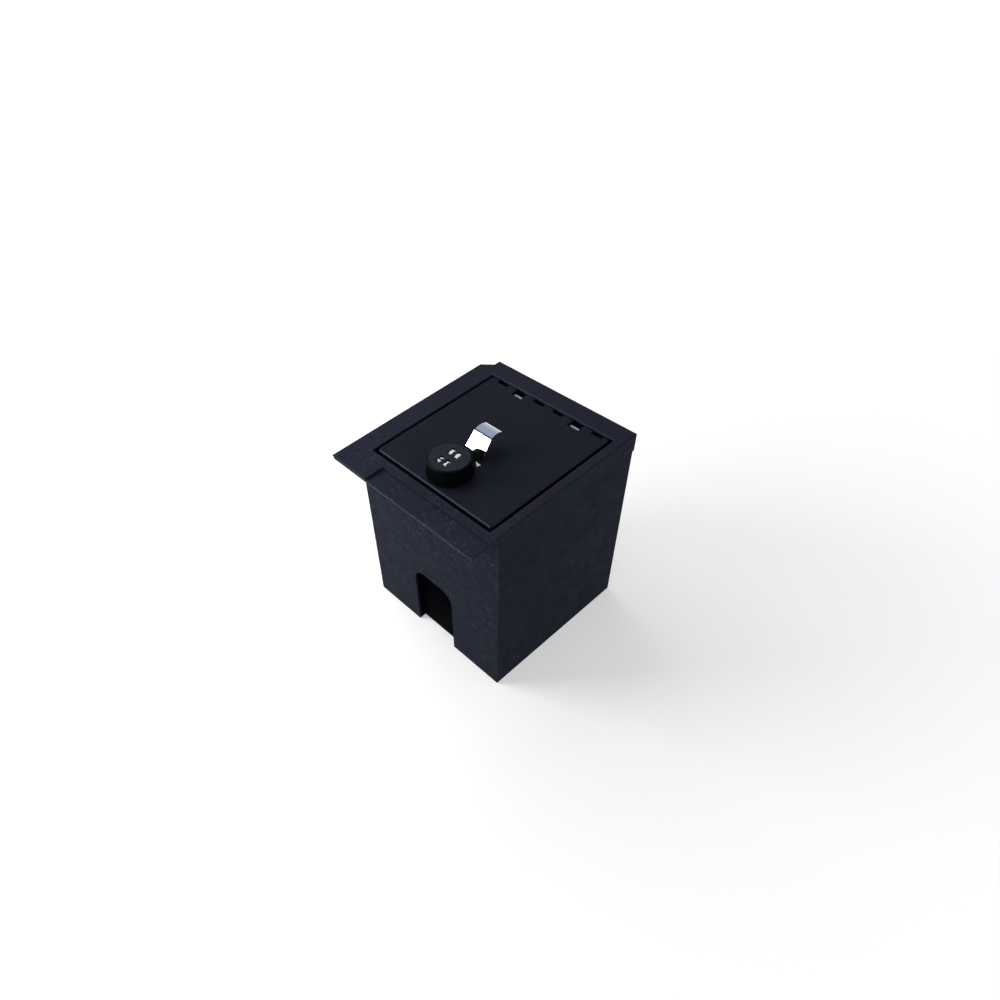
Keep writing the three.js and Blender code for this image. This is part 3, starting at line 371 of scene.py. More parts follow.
# Painted light: the cover's top gets a lighter black than its skirts, which take the walls' colour, and
# the edges round the opening are painted lighter still as a painted highlight.
COVER_LIT_TOP_BLACK = (0.0200, 0.0212, 0.0350)
COVER_EDGE_HIGHLIGHT = (0.1 * MM, 0.5 * MM, 2.5)
SATIN_GRAIN = 2.2 * MM
FINE_DEPTH = 0.10 * MM
SATIN_ROUGHNESS = 0.55
SATIN_BLACK = (0.0130, 0.0140, 0.0220)
EVEN = ("Z", 0, 1)
SIDE_GAP = 4.75 * MM
FRONT_GAP = 5.9 * MM
BACK_GAP = 3.5 * MM
lid_low, lid_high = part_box("lid_plate")
opening_low = lid_low - Vector((SIDE_GAP, FRONT_GAP, 0))
opening_high = lid_high + Vector((SIDE_GAP, BACK_GAP, 0))
cover_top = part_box("top_cover")[1].z
cover_ridges = (("Y", -100 * MM, -40 * MM, 0.7, 0.12),
                ("Z", cover_top - 4 * MM, cover_top - 2.5 * MM, 0.1, 1))
cover_coat = powder_coat("cover_powder", COVER_LIT_TOP_BLACK, COVER_WRINKLE, COVER_DEPTH, COVER_ROUGHNESS,
                         ridged=cover_ridges, edge_highlights=((opening_low, opening_high, *COVER_EDGE_HIGHLIGHT),),
                         skirt=(cover_top - 3 * MM, WRINKLE_BLACK))
satin_coat = powder_coat("satin_powder", SATIN_BLACK, SATIN_GRAIN, FINE_DEPTH, SATIN_ROUGHNESS,
                         ridged=((*EVEN, 0.2, 0.2),))
dressed("top_cover", "cover", cover_coat, COVER_EDGE)


# Weld bead. A thin rippled seam of steel, powdered with the walls, closes the joint between the ledge and
# the front wall's top along the lid opening. It shows only from behind, through the gap before the lid.
BEAD_RADIUS = 0.8 * MM
BEAD_RIPPLE = 0.07 * MM
BEAD_PITCH = 1.6 * MM
BEAD_RUN_OUT = 1 * MM
BEAD_SINK = 0.2 * MM
BEAD_SIDES = 8
bead_y = (front_y + ledge_high.y) / 2
bead_z = ledge_low.z - BEAD_SINK
bead_start = opening_low.x - BEAD_RUN_OUT
bead_length = opening_high.x + BEAD_RUN_OUT - bead_start
turns = [2 * math.pi * side / BEAD_SIDES for side in range(BEAD_SIDES)]
seam = bmesh.new()
rings = []
for ring in range(round(bead_length / BEAD_PITCH) + 1):
    thickness = BEAD_RADIUS + BEAD_RIPPLE * (-1) ** ring
    rings.append([seam.verts.new((bead_start + ring * BEAD_PITCH, bead_y + thickness * math.cos(turn),
                                  bead_z + thickness * math.sin(turn))) for turn in turns])
for one, two in zip(rings, rings[1:]):
    for side in range(BEAD_SIDES):
        after = (side + 1) % BEAD_SIDES
        seam.faces.new((one[side], one[after], two[after], two[side])).smooth = True
seam.faces.new(rings[0])
seam.faces.new(rings[-1])
bmesh.ops.recalc_face_normals(seam, faces=seam.faces)
bead_mesh = bpy.data.meshes.new("weld_bead")
seam.to_mesh(bead_mesh)
seam.free()
bead_mesh.materials.append(wrinkle_coat)
bead = placed("weld_bead", bead_mesh)
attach(bead, "box")


# Seat frame and strike. Two legs and a front strip of black sheet welded round the inside, for the lid to
# come down on, with a bright strike plate below the front strip and four stuck-on rubber bumpers.
SEAT_EDGE = 0.4 * MM
BUMPER_EDGE = 0.25 * MM
RUBBER = (0.022, 0.022, 0.024)
ZINC = (0.42, 0.43, 0.46)
DRAWN_OUT = (0.06, 1, 1)
DRAWN_WIDTH = 0.25 * MM
DRAWN_DEPTH = 0.02 * MM
ZINC_CLOUD = 4 * MM
ZINC_TONES = (0.8, 1.15)
ZINC_SPOT = 1.5 * MM
ZINC_BRIGHTER = 0.08
ZINC_DULLER = 0.12
FLOW_SIZE = 12 * MM
FLOW_TONES = (0.85, 1.15)
MOULD_SPOT = 3 * MM
MOULD_SPREAD = 0.06


def zinc_plate(name, tone=1.0, roughness=0.32):
    """Bright zinc over pressed steel: fine drawn lines, dull spots and a slight bluish cast."""
    finish, tree, shader, at = start_finish(name)
    shader.inputs["Metallic"].default_value = 1
    lines = added(tree, "ShaderNodeMapping", {"Vector": at, "Scale": DRAWN_OUT}, (-700, -250))
    drawn = spots(tree, lines.outputs["Vector"], DRAWN_WIDTH, 2, 0, 1, (-500, -250))
    raised(tree, shader, drawn, DRAWN_DEPTH, (600, -250))
    cloud = spots(tree, at, ZINC_CLOUD, 3, *ZINC_TONES, (-500, 250))
    tinted(tree, shader, tuple(c * tone for c in ZINC), cloud, (300, 250))
    dull = spots(tree, at, ZINC_SPOT, 3, roughness - ZINC_BRIGHTER, roughness + ZINC_DULLER, (-500, 0))
    tree.links.new(dull, shader.inputs["Roughness"])
    return finish


def moulded(name, colour, roughness, specular, grain, depth):
    """Moulded black plastic or rubber: a fine spark-eroded grain and faint flow marks."""
    finish, tree, shader, at = start_finish(name)
    shader.inputs["Specular IOR Level"].default_value = specular
    raised(tree, shader, spots(tree, at, grain, 2, 0, 1, (-500, -250)), depth, (600, -250))
    tinted(tree, shader, colour, spots(tree, at, FLOW_SIZE, 3, *FLOW_TONES, (-500, 250)), (300, 250))
    dull = spots(tree, at, MOULD_SPOT, 3, roughness - MOULD_SPREAD, roughness + MOULD_SPREAD, (-500, 0))
    tree.links.new(dull, shader.inputs["Roughness"])
    return finish


zinc = zinc_plate("bright_zinc")
rubber = moulded("black_rubber", RUBBER, roughness=0.85, specular=0.25, grain=0.5 * MM, depth=0.03 * MM)
dressed("lid_seat", "seat_frame", satin_coat, SEAT_EDGE, steps=2)
finish_of("strike_plate", zinc)
for number in range(1, 5):
    dressed(f"lid_bumper_{number}", f"bumper_{number}", rubber, BUMPER_EDGE, steps=2)


# Floor mat and hole plugs. The mat is pressed rubber with rows of low round pips; the plugs are moulded
# caps pushed into the bolt holes until the safe is bolted down.
MAT_EDGE = 0.4 * MM
BARE_ACROSS = 20 * MM
BARE_ALONG = 24 * MM
PLUG_EDGE = 0.2 * MM
PLUG_BLACK = (0.010, 0.010, 0.012)
PIP_PITCH = 6 * MM
PIP_RADIUS = 1.5 * MM
PIP_HEIGHT = 0.5 * MM
PIP_TAPER = 0.6
PIP_SIDES = 10
PIP_SHIFT = 4 * MM
PIP_CLEAR = 11.5 * MM


def tree_of(name, sizes):
    """An empty tree of geometry nodes with a named input for each size."""
    group = bpy.data.node_groups.new(name, "GeometryNodeTree")
    for label, kind, value in sizes:
        group.interface.new_socket(label, in_out="INPUT", socket_type=kind).default_value = value
    group.interface.new_socket("Mesh", in_out="OUTPUT", socket_type="NodeSocketGeometry")
    return group, group.nodes.new("NodeGroupInput").outputs


def ended(group, geometry, finish):
    """The tree ends in real meshes that carry the finish."""
    real = added(group, "GeometryNodeRealizeInstances", {"Geometry": geometry})
    paint = added(group, "GeometryNodeSetMaterial", {
        "Geometry": real.outputs["Geometry"], "Material": finish})
    added(group, "NodeGroupOutput", {"Mesh": paint.outputs["Geometry"]})


def grown(name, group, values):
    """Runs a tree with its own sizes and keeps the result as a plain mesh."""
    holder = placed(name, bpy.data.meshes.new(name))
    run = holder.modifiers.new("made", "NODES")
    run.node_group = group
    for item in group.interface.items_tree:
        if item.in_out == "INPUT" and item.name in values:
            run[item.identifier] = values[item.name]
    bpy.context.view_layer.update()
    done = holder.evaluated_get(bpy.context.evaluated_depsgraph_get())
    mesh = bpy.data.meshes.new_from_object(done)
    holder.modifiers.clear()
    holder.data = mesh
    return holder


mat_low, mat_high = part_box("floor_mat")
plug_boxes = [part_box(f"mount_plug_{number}") for number in range(1, 5)]
plug_x = max(high.x + low.x for low, high in plug_boxes) / 2
plug_y = max(high.y + low.y for low, high in plug_boxes) / 2
plain_plastic = moulded("plug_plastic", PLUG_BLACK, roughness=0.45, specular=0.4,
                        grain=0.4 * MM, depth=0.01 * MM)

pips, size = tree_of("mat_pips", [
    ("Pitch", "NodeSocketFloat", PIP_PITCH), ("Radius", "NodeSocketFloat", PIP_RADIUS),
    ("Height", "NodeSocketFloat", PIP_HEIGHT), ("Columns", "NodeSocketInt", 10),
    ("Rows", "NodeSocketInt", 10), ("Plug X", "NodeSocketFloat", 60 * MM),
    ("Plug Y", "NodeSocketFloat", 55 * MM), ("Clear", "NodeSocketFloat", PIP_CLEAR),
    ("Centre", "NodeSocketVector", (0, 0, 0))])
sides = {}
for side, count in (("X", "Columns"), ("Y", "Rows")):
    sides[f"Vertices {side}"] = size[count]
    gaps = worked(pips, "SUBTRACT", size[count], 1)
    sides[f"Size {side}"] = worked(pips, "MULTIPLY", gaps, size["Pitch"])
grid = added(pips, "GeometryNodeMeshGrid", sides)
shifted = added(pips, "GeometryNodeTransform", {
    "Geometry": grid.outputs["Mesh"], "Translation": size["Centre"]})
where = added(pips, "GeometryNodeInputPosition", {})
parts = added(pips, "ShaderNodeSeparateXYZ", {0: where.outputs["Position"]})
squares = []
for side in ("X", "Y"):
    off = worked(pips, "ABSOLUTE", parts.outputs[side], 0)
    off = worked(pips, "SUBTRACT", off, size[f"Plug {side}"])
    squares.append(worked(pips, "MULTIPLY", off, off))
away = worked(pips, "SQRT", worked(pips, "ADD", *squares), 0)
clear = added(pips, "GeometryNodeDeleteGeometry", {
    "Geometry": shifted.outputs["Geometry"], "Selection": worked(pips, "LESS_THAN", away, size["Clear"])})
pip = added(pips, "GeometryNodeMeshCone", {
    "Vertices": PIP_SIDES, "Radius Top": worked(pips, "MULTIPLY", size["Radius"], PIP_TAPER),
    "Radius Bottom": size["Radius"], "Depth": size["Height"]})
laid = added(pips, "GeometryNodeInstanceOnPoints", {
    "Points": clear.outputs["Geometry"], "Instance": pip.outputs["Mesh"]})
ended(pips, laid.outputs["Instances"], rubber)

mat_pips = grown("mat_pips", pips, {
    "Columns": int((mat_high.x - mat_low.x - BARE_ACROSS) / PIP_PITCH),
    "Rows": int((mat_high.y - mat_low.y - BARE_ALONG) / PIP_PITCH),
    "Plug X": plug_x, "Plug Y": plug_y,
    "Centre": (0.0, (mat_low.y + mat_high.y) / 2 - PIP_SHIFT, mat_high.z)})
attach(mat_pips, "box")
dressed("floor_mat", "rubber_mat", rubber, MAT_EDGE, steps=2)
for number in range(1, 5):
    dressed(f"mount_plug_{number}", f"hole_plug_{number}", plain_plastic, PLUG_EDGE,
            steps=2)


# Hinge. A black leaf on the body with four knuckles, a leaf under the lid with five between them, and one
# pin through them all, with a bright sleeve on it in each of the lid's two long slots.
LEAF_EDGE = 0.25 * MM
PIN_EDGE = 0.2 * MM
SLEEVE_EDGE = 0.35 * MM
RIVET_ROUND = 12
RIVET_SHANK = 1.8 * MM
sleeve_plate = zinc_plate("sleeve_plate", tone=1.7, roughness=0.3)
dressed("hinge_leaf_body", "body_leaf", satin_coat, LEAF_EDGE, steps=2)
dressed("hinge_leaf_lid", "lid_leaf", satin_coat, LEAF_EDGE, steps=2)
dressed("hinge_pin", "pin", zinc, PIN_EDGE, steps=2)
for number in (1, 2):
    dressed(f"hinge_sleeve_{number}", f"sleeve_{number}", sleeve_plate, SLEEVE_EDGE)

rivets, size = tree_of("rivet_heads", [
    ("Count", "NodeSocketInt", 3), ("Pitch", "NodeSocketFloat", 50 * MM),
    ("Radius", "NodeSocketFloat", 3 * MM), ("Height", "NodeSocketFloat", 1.5 * MM),
    ("First", "NodeSocketVector", (0, 0, 0))])
step = added(rivets, "ShaderNodeCombineXYZ", {"X": size["Pitch"]})
row = added(rivets, "GeometryNodeMeshLine", {
    "Count": size["Count"], "Start Location": size["First"], "Offset": step.outputs["Vector"]})
ball = added(rivets, "GeometryNodeMeshUVSphere", {
    "Segments": 2 * RIVET_ROUND, "Rings": RIVET_ROUND, "Radius": 1})
dome = added(rivets, "ShaderNodeCombineXYZ", {
    "X": size["Radius"], "Y": size["Radius"], "Z": size["Height"]})
pressed = added(rivets, "GeometryNodeTransform", {
    "Geometry": ball.outputs["Mesh"], "Scale": dome.outputs["Vector"]})
spot = added(rivets, "GeometryNodeInputPosition", {})
split = added(rivets, "ShaderNodeSeparateXYZ", {0: spot.outputs["Position"]})
flat = added(rivets, "ShaderNodeCombineXYZ", {
    "X": split.outputs["X"], "Y": split.outputs["Y"],
    "Z": worked(rivets, "MINIMUM", split.outputs["Z"], 0)})
seated = added(rivets, "GeometryNodeSetPosition", {
    "Geometry": pressed.outputs["Geometry"], "Position": flat.outputs["Vector"]})
smooth = added(rivets, "GeometryNodeSetShadeSmooth", {"Geometry": seated.outputs["Geometry"]})
heads = added(rivets, "GeometryNodeInstanceOnPoints", {
    "Points": row.outputs["Mesh"], "Instance": smooth.outputs["Geometry"]})
ended(rivets, heads.outputs["Instances"], zinc)

for side, body in (("body", "box"), ("lid", "lid")):
    low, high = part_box(f"{side}_leaf_rivet_1")
    last_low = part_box(f"{side}_leaf_rivet_3")[0]
    heads_made = grown(f"{side}_rivets", rivets, {
        "Pitch": (last_low.x - low.x) / 2, "Radius": (high.x - low.x) / 2,
        "Height": high.z - low.z - RIVET_SHANK,
        "First": ((low.x + high.x) / 2, (low.y + high.y) / 2, high.z - RIVET_SHANK)})
    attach(heads_made, body)
    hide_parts(*[f"{side}_leaf_rivet_{number}" for number in (1, 2, 3)])


# Lid. A flat plate with slots cut for the hinge's knuckles, a rim welded under it on three sides and a hat
# section across its underside. Its powder has a fine leather grain, and its edges are painted lighter as a
# painted highlight, most of all the front one.
LID_EDGE = 0.5 * MM
RIM_EDGE = 0.4 * MM
HAT_EDGE = 0.3 * MM
LID_GRAIN = 2.6 * MM
LID_ROUGHNESS = 0.55
LID_BLACK = (0.0150, 0.0162, 0.0245)
LID_ROUND = (-0.1 * MM, -0.5 * MM)
# Painted highlight: all the lid's edges are painted lighter, and the front edge more so.
LID_EDGE_HIGHLIGHT = 2.4
LID_FRONT_EDGE_HIGHLIGHT = 2.2
lid_coat = powder_coat("lid_powder", LID_BLACK, LID_GRAIN, FINE_DEPTH, LID_ROUGHNESS,
                       ridged=((*EVEN, 0.10, 0.10),),
                       edge_highlights=((lid_low, lid_high, *LID_ROUND, LID_EDGE_HIGHLIGHT),
                             (*behind(lid_low.y), *LID_ROUND, LID_FRONT_EDGE_HIGHLIGHT)))
dressed("lid_plate", "lid", lid_coat, LID_EDGE)
dressed("lid_rim", "rim", satin_coat, RIM_EDGE, steps=2)
dressed("lid_stiffener", "hat_section", satin_coat, HAT_EDGE, steps=2)


# Lock. A die-cast housing passes through the lid and is drawn up by a washer and a hexagonal nut. Its
# spindle carries a pressed cam, held by one screw, and the knob turns on a moulded ring above the lid.
RING_EDGE = 0.4 * MM
MOULD_GRAIN = 0.35 * MM
MOULD_DEPTH = 0.012 * MM
KNOB_BLACK = (0.0016, 0.0020, 0.0022)
knob_plastic = moulded("knob_plastic", KNOB_BLACK, roughness=0.6, specular=0.03,
                       grain=MOULD_GRAIN, depth=MOULD_DEPTH)
for node, name, edge in (
        ("lock_housing", "housing", 0.3), ("lock_washer", "washer", 0.2), ("lock_nut", "nut", 0.4),
        ("lock_spindle", "spindle", 0.3), ("lock_cam", "cam", 0.35), ("cam_screw", "screw", 0.25)):
    dressed(node, name, zinc, edge * MM, steps=2)
dressed("knob_base_ring", "base_ring", knob_plastic, RING_EDGE)


# Finger pull. A steel blade on a narrow neck with an eye at its end, clamped under the knob's ring. It is
# bent up behind the knob, creased and curled over and plated bright. Its lowest part, neck and eye and the
# foot of the bend, is coloured black as a painted dark reflection of the knob beside it.
PULL_EDGE = 0.25 * MM
PULL_DEGREES = 40
DARK_REFLECTION_HEIGHT = 6.2 * MM
DARK_REFLECTION_BORDER = 0.02 * MM
DARK_PART_DULL = 0.6
PLATE_IOR = 1.1
NECK_DARK_REFLECTION = (0.0040, 0.0045, 0.0060)
PLATE_BRIGHT = (0.87, 0.88, 0.90)
PLATE_HAZE = (0.04, 0.07)
HAZE_SIZE = 5 * MM
MARK_SIZE = 0.6 * MM
MARK_DEPTH = 0.003 * MM
chrome, tree, shader, at = start_finish("bright_chrome")
shader.inputs["IOR"].default_value = PLATE_IOR
# Painted reflection: below this height the pull is coloured black, standing in for the dark knob mirrored
# in it.
neck_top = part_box("finger_pull")[0].z + DARK_REFLECTION_HEIGHT
plated = fade(tree, at, "Z", neck_top, neck_top + DARK_REFLECTION_BORDER, (-500, 500))
tree.links.new(plated, shader.inputs["Metallic"])
tree.links.new(mixed(tree, NECK_DARK_REFLECTION, PLATE_BRIGHT, plated, (500, 250)), shader.inputs["Base Color"])
raised(tree, shader, spots(tree, at, MARK_SIZE, 2, 0, 1, (-500, -250)), MARK_DEPTH, (600, -250))
haze = spots(tree, at, HAZE_SIZE, 3, *PLATE_HAZE, (-500, 0))
painted = worked(tree, "MULTIPLY", worked(tree, "SUBTRACT", 1, plated, (-120, 400)), DARK_PART_DULL, (60, 400))
tree.links.new(worked(tree, "ADD", haze, painted, (240, 100)), shader.inputs["Roughness"])
dressed("finger_pull", "pull", chrome, PULL_EDGE, steps=2, sharp=PULL_DEGREES)


# Knob. A moulded cup with a cap on it; each window of the cap shows a number wheel. The wheels turn on two
# steel axles held in a cradle inside the cup. The cap's flat top is painted grey as a painted sheen from
# the light above, and its rounded rim is left black as painted shade.
CUP_EDGE = 0.4 * MM
CAP_EDGE = 0.25 * MM
CAP_SHEEN_GREY = (0.0205, 0.0245, 0.0310)
CAP_RIM = 1.9 * MM
CAP_BORDER = 0.5 * MM
SHEEN_PATCH_SIZE = 9 * MM
SHEEN_PATCH_TONES = (0.85, 1.1)
CAP_ROUGHNESS = (0.49, 0.61)
CAP_SPECULAR = 0.08
cap_low, cap_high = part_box("knob_face")
sheen_radius = (cap_high.x - cap_low.x) / 2 - CAP_RIM
cap_plastic, tree, shader, at = start_finish("cap_plastic")
shader.inputs["Specular IOR Level"].default_value = CAP_SPECULAR
from_axis = vector_worked(tree, "MULTIPLY_ADD", (-700, 300), at, (1, 1, 0),
                          (-(cap_low.x + cap_high.x) / 2, -(cap_low.y + cap_high.y) / 2, 0))
reach = vector_worked(tree, "LENGTH", (-500, 300), from_axis)
# Painted sheen: the flat top inside the rim is grey, and the rounded rim stays black as painted shade.
sheen_area = spread(tree, reach, sheen_radius + CAP_BORDER, sheen_radius - CAP_BORDER, (-300, 300))
uneven = spots(tree, at, SHEEN_PATCH_SIZE, 3, *SHEEN_PATCH_TONES, (-300, 100))
painted_light = worked(tree, "MULTIPLY", sheen_area, uneven, (100, 300))
tree.links.new(mixed(tree, KNOB_BLACK, CAP_SHEEN_GREY, painted_light, (400, 300)), shader.inputs["Base Color"])
tree.links.new(spots(tree, at, MOULD_SPOT, 3, *CAP_ROUGHNESS, (-300, -100)), shader.inputs["Roughness"])
raised(tree, shader, spots(tree, at, MOULD_GRAIN, 2, 0, 1, (-300, -300)), MOULD_DEPTH, (600, -300))
dressed("knob_body", "knob_cup", knob_plastic, CUP_EDGE)
dressed("knob_face", "cap", cap_plastic, CAP_EDGE, steps=2)
finish_of("wheel_axle_1", zinc)
finish_of("wheel_axle_2", zinc)


# Number wheels. Ten-sided moulded wheels with a groove between faces, and the numbers 0 to 9 printed
# round each in white enamel.
WHEEL_FACES = 10
FACE_STEPS = 8
GROOVE_SHARPNESS = 12
WHEEL_BLACK = (0.008, 0.008, 0.010)
ENAMEL_WHITE = (0.83, 0.84, 0.86)
NUMBER_SIZE = 5.6 * MM
NUMBER_BOLD = 0.36 * MM
NUMBER_WIDEN = 1.3
NUMBER_STEP = 0.4 * MM
INK = 0.06 * MM
INK_WELDED = 0.0001 * MM
SHOWN = (3, 8, 6, 1)
wheel_plastic = moulded("wheel_plastic", WHEEL_BLACK, roughness=0.5, specular=0.3,
                        grain=0.3 * MM, depth=0.01 * MM)
enamel = moulded("white_enamel", ENAMEL_WHITE, roughness=0.4, specular=0.5,
                 grain=0.4 * MM, depth=0.005 * MM)

wheels, size = tree_of("number_wheel", [
    ("Radius", "NodeSocketFloat", 6 * MM), ("Width", "NodeSocketFloat", 5.2 * MM),
    ("Groove", "NodeSocketFloat", 0.4 * MM), ("Faces", "NodeSocketInt", WHEEL_FACES),
    ("Centre", "NodeSocketVector", (0, 0, 0))])
drum = added(wheels, "GeometryNodeMeshCylinder", {
    "Side Segments": 2, "Vertices": worked(wheels, "MULTIPLY", size["Faces"], FACE_STEPS),
    "Radius": size["Radius"], "Depth": size["Width"]})
rim = added(wheels, "GeometryNodeInputPosition", {})
parts = added(wheels, "ShaderNodeSeparateXYZ", {0: rim.outputs["Position"]})
angle = worked(wheels, "ARCTAN2", parts.outputs["Y"], parts.outputs["X"])
turn = worked(wheels, "MULTIPLY", worked(wheels, "MULTIPLY", angle, size["Faces"]), 0.5)
ridge = worked(wheels, "ABSOLUTE", worked(wheels, "SINE", turn, 0), 0)
ridge = worked(wheels, "POWER", ridge, GROOVE_SHARPNESS)
depth = worked(wheels, "DIVIDE", worked(wheels, "MULTIPLY", ridge, size["Groove"]), size["Radius"])
scale = worked(wheels, "SUBTRACT", 1, depth)
moved = added(wheels, "ShaderNodeCombineXYZ", {
    "X": worked(wheels, "MULTIPLY", parts.outputs["X"], scale),
    "Y": worked(wheels, "MULTIPLY", parts.outputs["Y"], scale), "Z": parts.outputs["Z"]})
grooved = added(wheels, "GeometryNodeSetPosition", {
    "Geometry": drum.outputs["Mesh"], "Position": moved.outputs["Vector"]})
laid_down = added(wheels, "GeometryNodeTransform", {
    "Geometry": grooved.outputs["Geometry"], "Rotation": (0, math.pi / 2, 0),
    "Translation": size["Centre"]})
ended(wheels, laid_down.outputs["Geometry"], wheel_plastic)


def printed_numbers(name, centre, radius, shown):
    """The numbers 0 to 9 round a wheel, as thin ink bent to its rim, with one of them on top."""
    ink = bmesh.new()
    for number in range(WHEEL_FACES):
        glyph = bpy.data.curves.new(f"{name}_{number}", "FONT")
        glyph.body = str(number)
        glyph.size = NUMBER_SIZE
        glyph.align_x = "CENTER"
        glyph.align_y = "CENTER"
        glyph.offset = NUMBER_BOLD
        glyph.extrude = INK
        sample = placed(glyph.name, glyph)
        bpy.context.view_layer.update()
        depsgraph = bpy.context.evaluated_depsgraph_get()
        flat_number = bpy.data.meshes.new_from_object(sample.evaluated_get(depsgraph))
        cut = bmesh.new()
        cut.from_mesh(flat_number)
        high = max(v.co.y for v in cut.verts)
        low = min(v.co.y for v in cut.verts)
        for level in np.arange(low + NUMBER_STEP, high, NUMBER_STEP):
            bmesh.ops.bisect_plane(cut, geom=cut.verts[:] + cut.edges[:] + cut.faces[:], dist=INK_WELDED,
                                   plane_co=(0, level, 0), plane_no=(0, 1, 0))
        angle = (shown - number) * 2 * math.pi / WHEEL_FACES
        for vertex in cut.verts:
            x, y, z = vertex.co
            at_angle = angle + (y - (high + low) / 2) / radius
            reach = radius + z
            place = (x * NUMBER_WIDEN, reach * math.sin(at_angle), reach * math.cos(at_angle))
            vertex.co = centre + Vector(place)
        cut.to_mesh(flat_number)
        cut.free()
        ink.from_mesh(flat_number)
        bpy.data.objects.remove(sample)
        bpy.data.curves.remove(glyph)
        bpy.data.meshes.remove(flat_number)
    bmesh.ops.remove_doubles(ink, verts=ink.verts, dist=INK_WELDED)
    mesh = bpy.data.meshes.new(name)
    ink.to_mesh(mesh)
    ink.free()
    mesh.materials.append(enamel)
    return placed(name, mesh)


for number, shown in enumerate(SHOWN, 1):
    node = f"number_wheel_{number}"
    low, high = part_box(node)
    radius = (high.z - low.z) / 2
    centre = (low + high) / 2
    wheel = grown(f"wheel_{number}", wheels, {
        "Radius": radius, "Width": high.x - low.x, "Centre": tuple(centre)})
    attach(wheel, f"wheel_{number}")
    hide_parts(node)
    numbers = printed_numbers(f"numbers_{number}", centre, radius, shown)
    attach(numbers, f"wheel_{number}")


# Turn mark. A small arrowhead on the lid beside the knob, pointing the way it turns. It is stencilled on
# the powder in thick white enamel, with barely rounded edges.
ARROW_EDGE = 0.1 * MM
dressed("turn_mark", "arrow", enamel, ARROW_EDGE, steps=2)


# Studio. A white table in a white room, with a small lamp near the front left, a larger one far to the
# right and one overhead. Only the front left lamp is mirrored, and what shines mirrors the room as white
# at the front, dark above and bluish toward the back.
FLOOR_HALF = 8.0
FLOOR_DROP = 0.2 * MM
FLOOR_WHITE = (0.8, 0.8, 0.8, 1)
FLOOR_ROUGHNESS = 0.9
FLOOR_SPECULAR = 0.1
NEAR, FAR = 0.3, 2.0
GLOW_NEAR, GLOW_FAR = 0.4, 1.0
ROOM_LIGHT = (0.30, 0.30, 0.30)
MIRRORED = ((0.150, (1, 1, 1)), (0.170, (0.02, 0.02, 0.03)), (0.440, (0.03, 0.03, 0.05)),
            (0.475, (0.33, 0.355, 0.49)), (0.780, (0.34, 0.365, 0.50)), (0.900, (0.50, 0.52, 0.60)))
LAMPS = (("key_left", (-0.62, -0.60, 0.56), 0.5, 6.5), ("fill_right", (1.8, -0.2, 1.2), 1.2, 6.5),
         ("overhead", (-0.75, 0.10, 1.15), 1.0, 5.8))
LAMP_AIM = Vector((0, 0, 0.14))
floor_mesh = bpy.data.meshes.new("table")
table = bmesh.new()
table.faces.new([table.verts.new((x * FLOOR_HALF, y * FLOOR_HALF, -FLOOR_DROP))
                 for x, y in ((-1, -1), (1, -1), (1, 1), (-1, 1))])
table.to_mesh(floor_mesh)
table.free()
floor = placed("table", floor_mesh)
paper, tree, shader, at = start_finish("white_paper")
shader.inputs["Base Color"].default_value = FLOOR_WHITE
shader.inputs["Roughness"].default_value = FLOOR_ROUGHNESS
shader.inputs["Specular IOR Level"].default_value = FLOOR_SPECULAR
shader.inputs["Emission Color"].default_value = (1, 1, 1, 1)
ray = added(tree, "ShaderNodeLightPath", {})
seen = worked(tree, "MAXIMUM", ray.outputs["Is Camera Ray"], ray.outputs["Is Glossy Ray"])
farther = spread(tree, vector_worked(tree, "LENGTH", (0, 0), at), NEAR, FAR, (0, 0), GLOW_NEAR, GLOW_FAR)
tree.links.new(worked(tree, "MULTIPLY", seen, farther), shader.inputs["Emission Strength"])
floor_mesh.materials.append(paper)

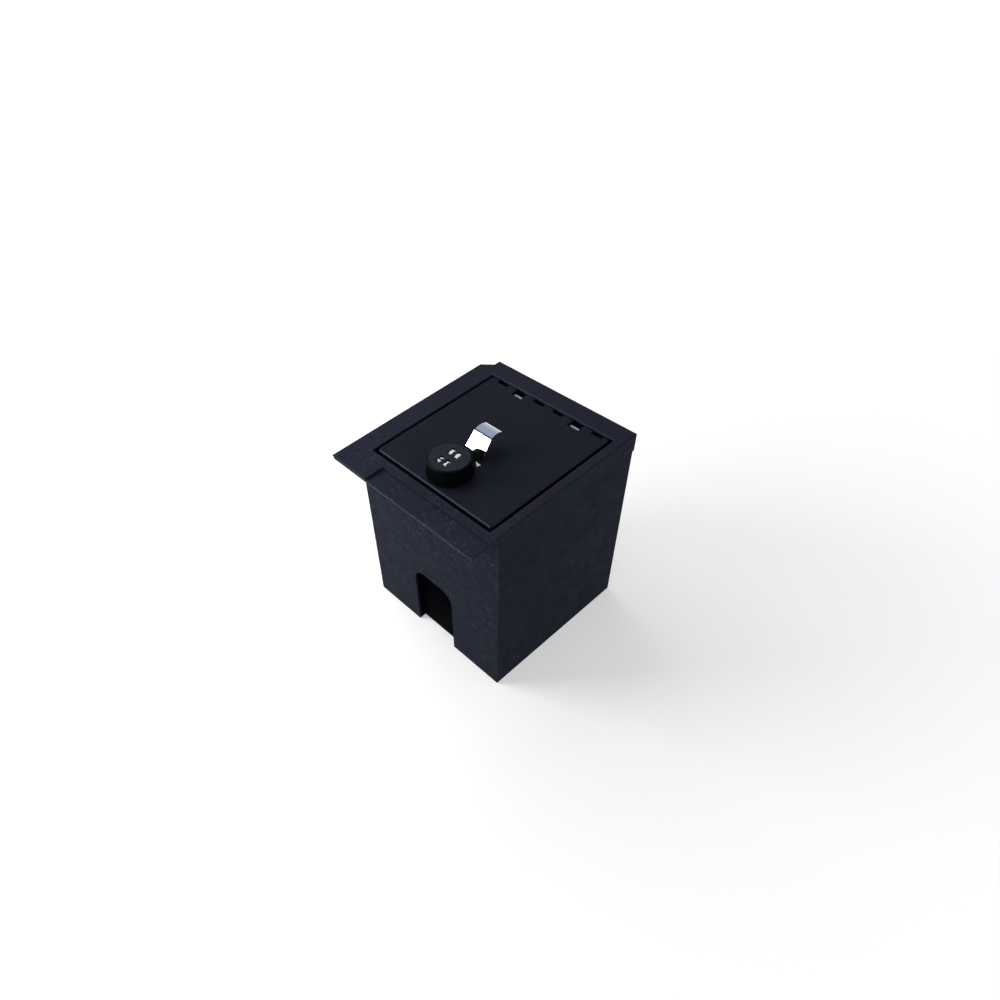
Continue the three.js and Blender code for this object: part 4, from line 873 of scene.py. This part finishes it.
world = bpy.data.worlds.new("white_room")
bpy.context.scene.world = world
world.use_nodes = True
tree = world.node_tree
ray = added(tree, "ShaderNodeLightPath", {})
sky = added(tree, "ShaderNodeTexCoord", {})
toward_back = fade(tree, sky.outputs["Generated"], "Y", -1, 1, (0, 0))
mirror_room = added(tree, "ShaderNodeValToRGB", {"Fac": toward_back})
for place, _ in MIRRORED[2:]:
    mirror_room.color_ramp.elements.new(place)
for stop, (place, shade) in zip(mirror_room.color_ramp.elements, MIRRORED):
    stop.position = place
    stop.color = (*shade, 1)
lit = mixed(tree, ROOM_LIGHT, mirror_room.outputs["Color"], ray.outputs["Is Glossy Ray"])
room = mixed(tree, lit, (1, 1, 1), ray.outputs["Is Camera Ray"])
back = tree.nodes["Background"]
tree.links.new(room, back.inputs["Color"])
back.inputs["Strength"].default_value = 1

for name, place, width, power in LAMPS:
    lamp = bpy.data.lights.new(name, "AREA")
    lamp.shape = "SQUARE"
    lamp.size = width
    lamp.energy = power
    light = placed(name, lamp)
    light.location = place
    light.visible_glossy = name == "key_left"
    light.rotation_euler = (LAMP_AIM - Vector(place)).to_track_quat("-Z", "Y").to_euler()


# Camera. It stands at the front right and above, tipped slightly, as the photograph was taken. Its centre
# is where the photograph's own optical centre falls in the square frame.
EYE = Vector((0.40852, -0.42303, 0.72270))
AZIMUTH, ELEVATION, ROLL = 0.93693, 0.83995, -0.12265
FOCAL, CENTRE_ACROSS, CENTRE_DOWN = 0.74561, 0.410, 0.556
SENSOR = 36
backward = Vector((math.sin(AZIMUTH) * math.cos(ELEVATION), -math.cos(AZIMUTH) * math.cos(ELEVATION),
                   math.sin(ELEVATION)))
right = Vector((0, 0, 1)).cross(backward).normalized()
up = backward.cross(right)
rolled_right = right * math.cos(ROLL) + up * math.sin(ROLL)
rolled_up = up * math.cos(ROLL) - right * math.sin(ROLL)
view = bpy.data.cameras.new("camera")
view.sensor_width = SENSOR
view.lens = FOCAL * SENSOR
view.shift_x = 0.5 - CENTRE_ACROSS
view.shift_y = CENTRE_DOWN - 0.5
camera = placed("camera", view)
turned = Matrix((rolled_right, rolled_up, backward)).transposed().to_4x4()
camera.matrix_world = Matrix.Translation(EYE) @ turned
bpy.context.scene.camera = camera
bpy.context.scene.view_settings.view_transform = "Standard"
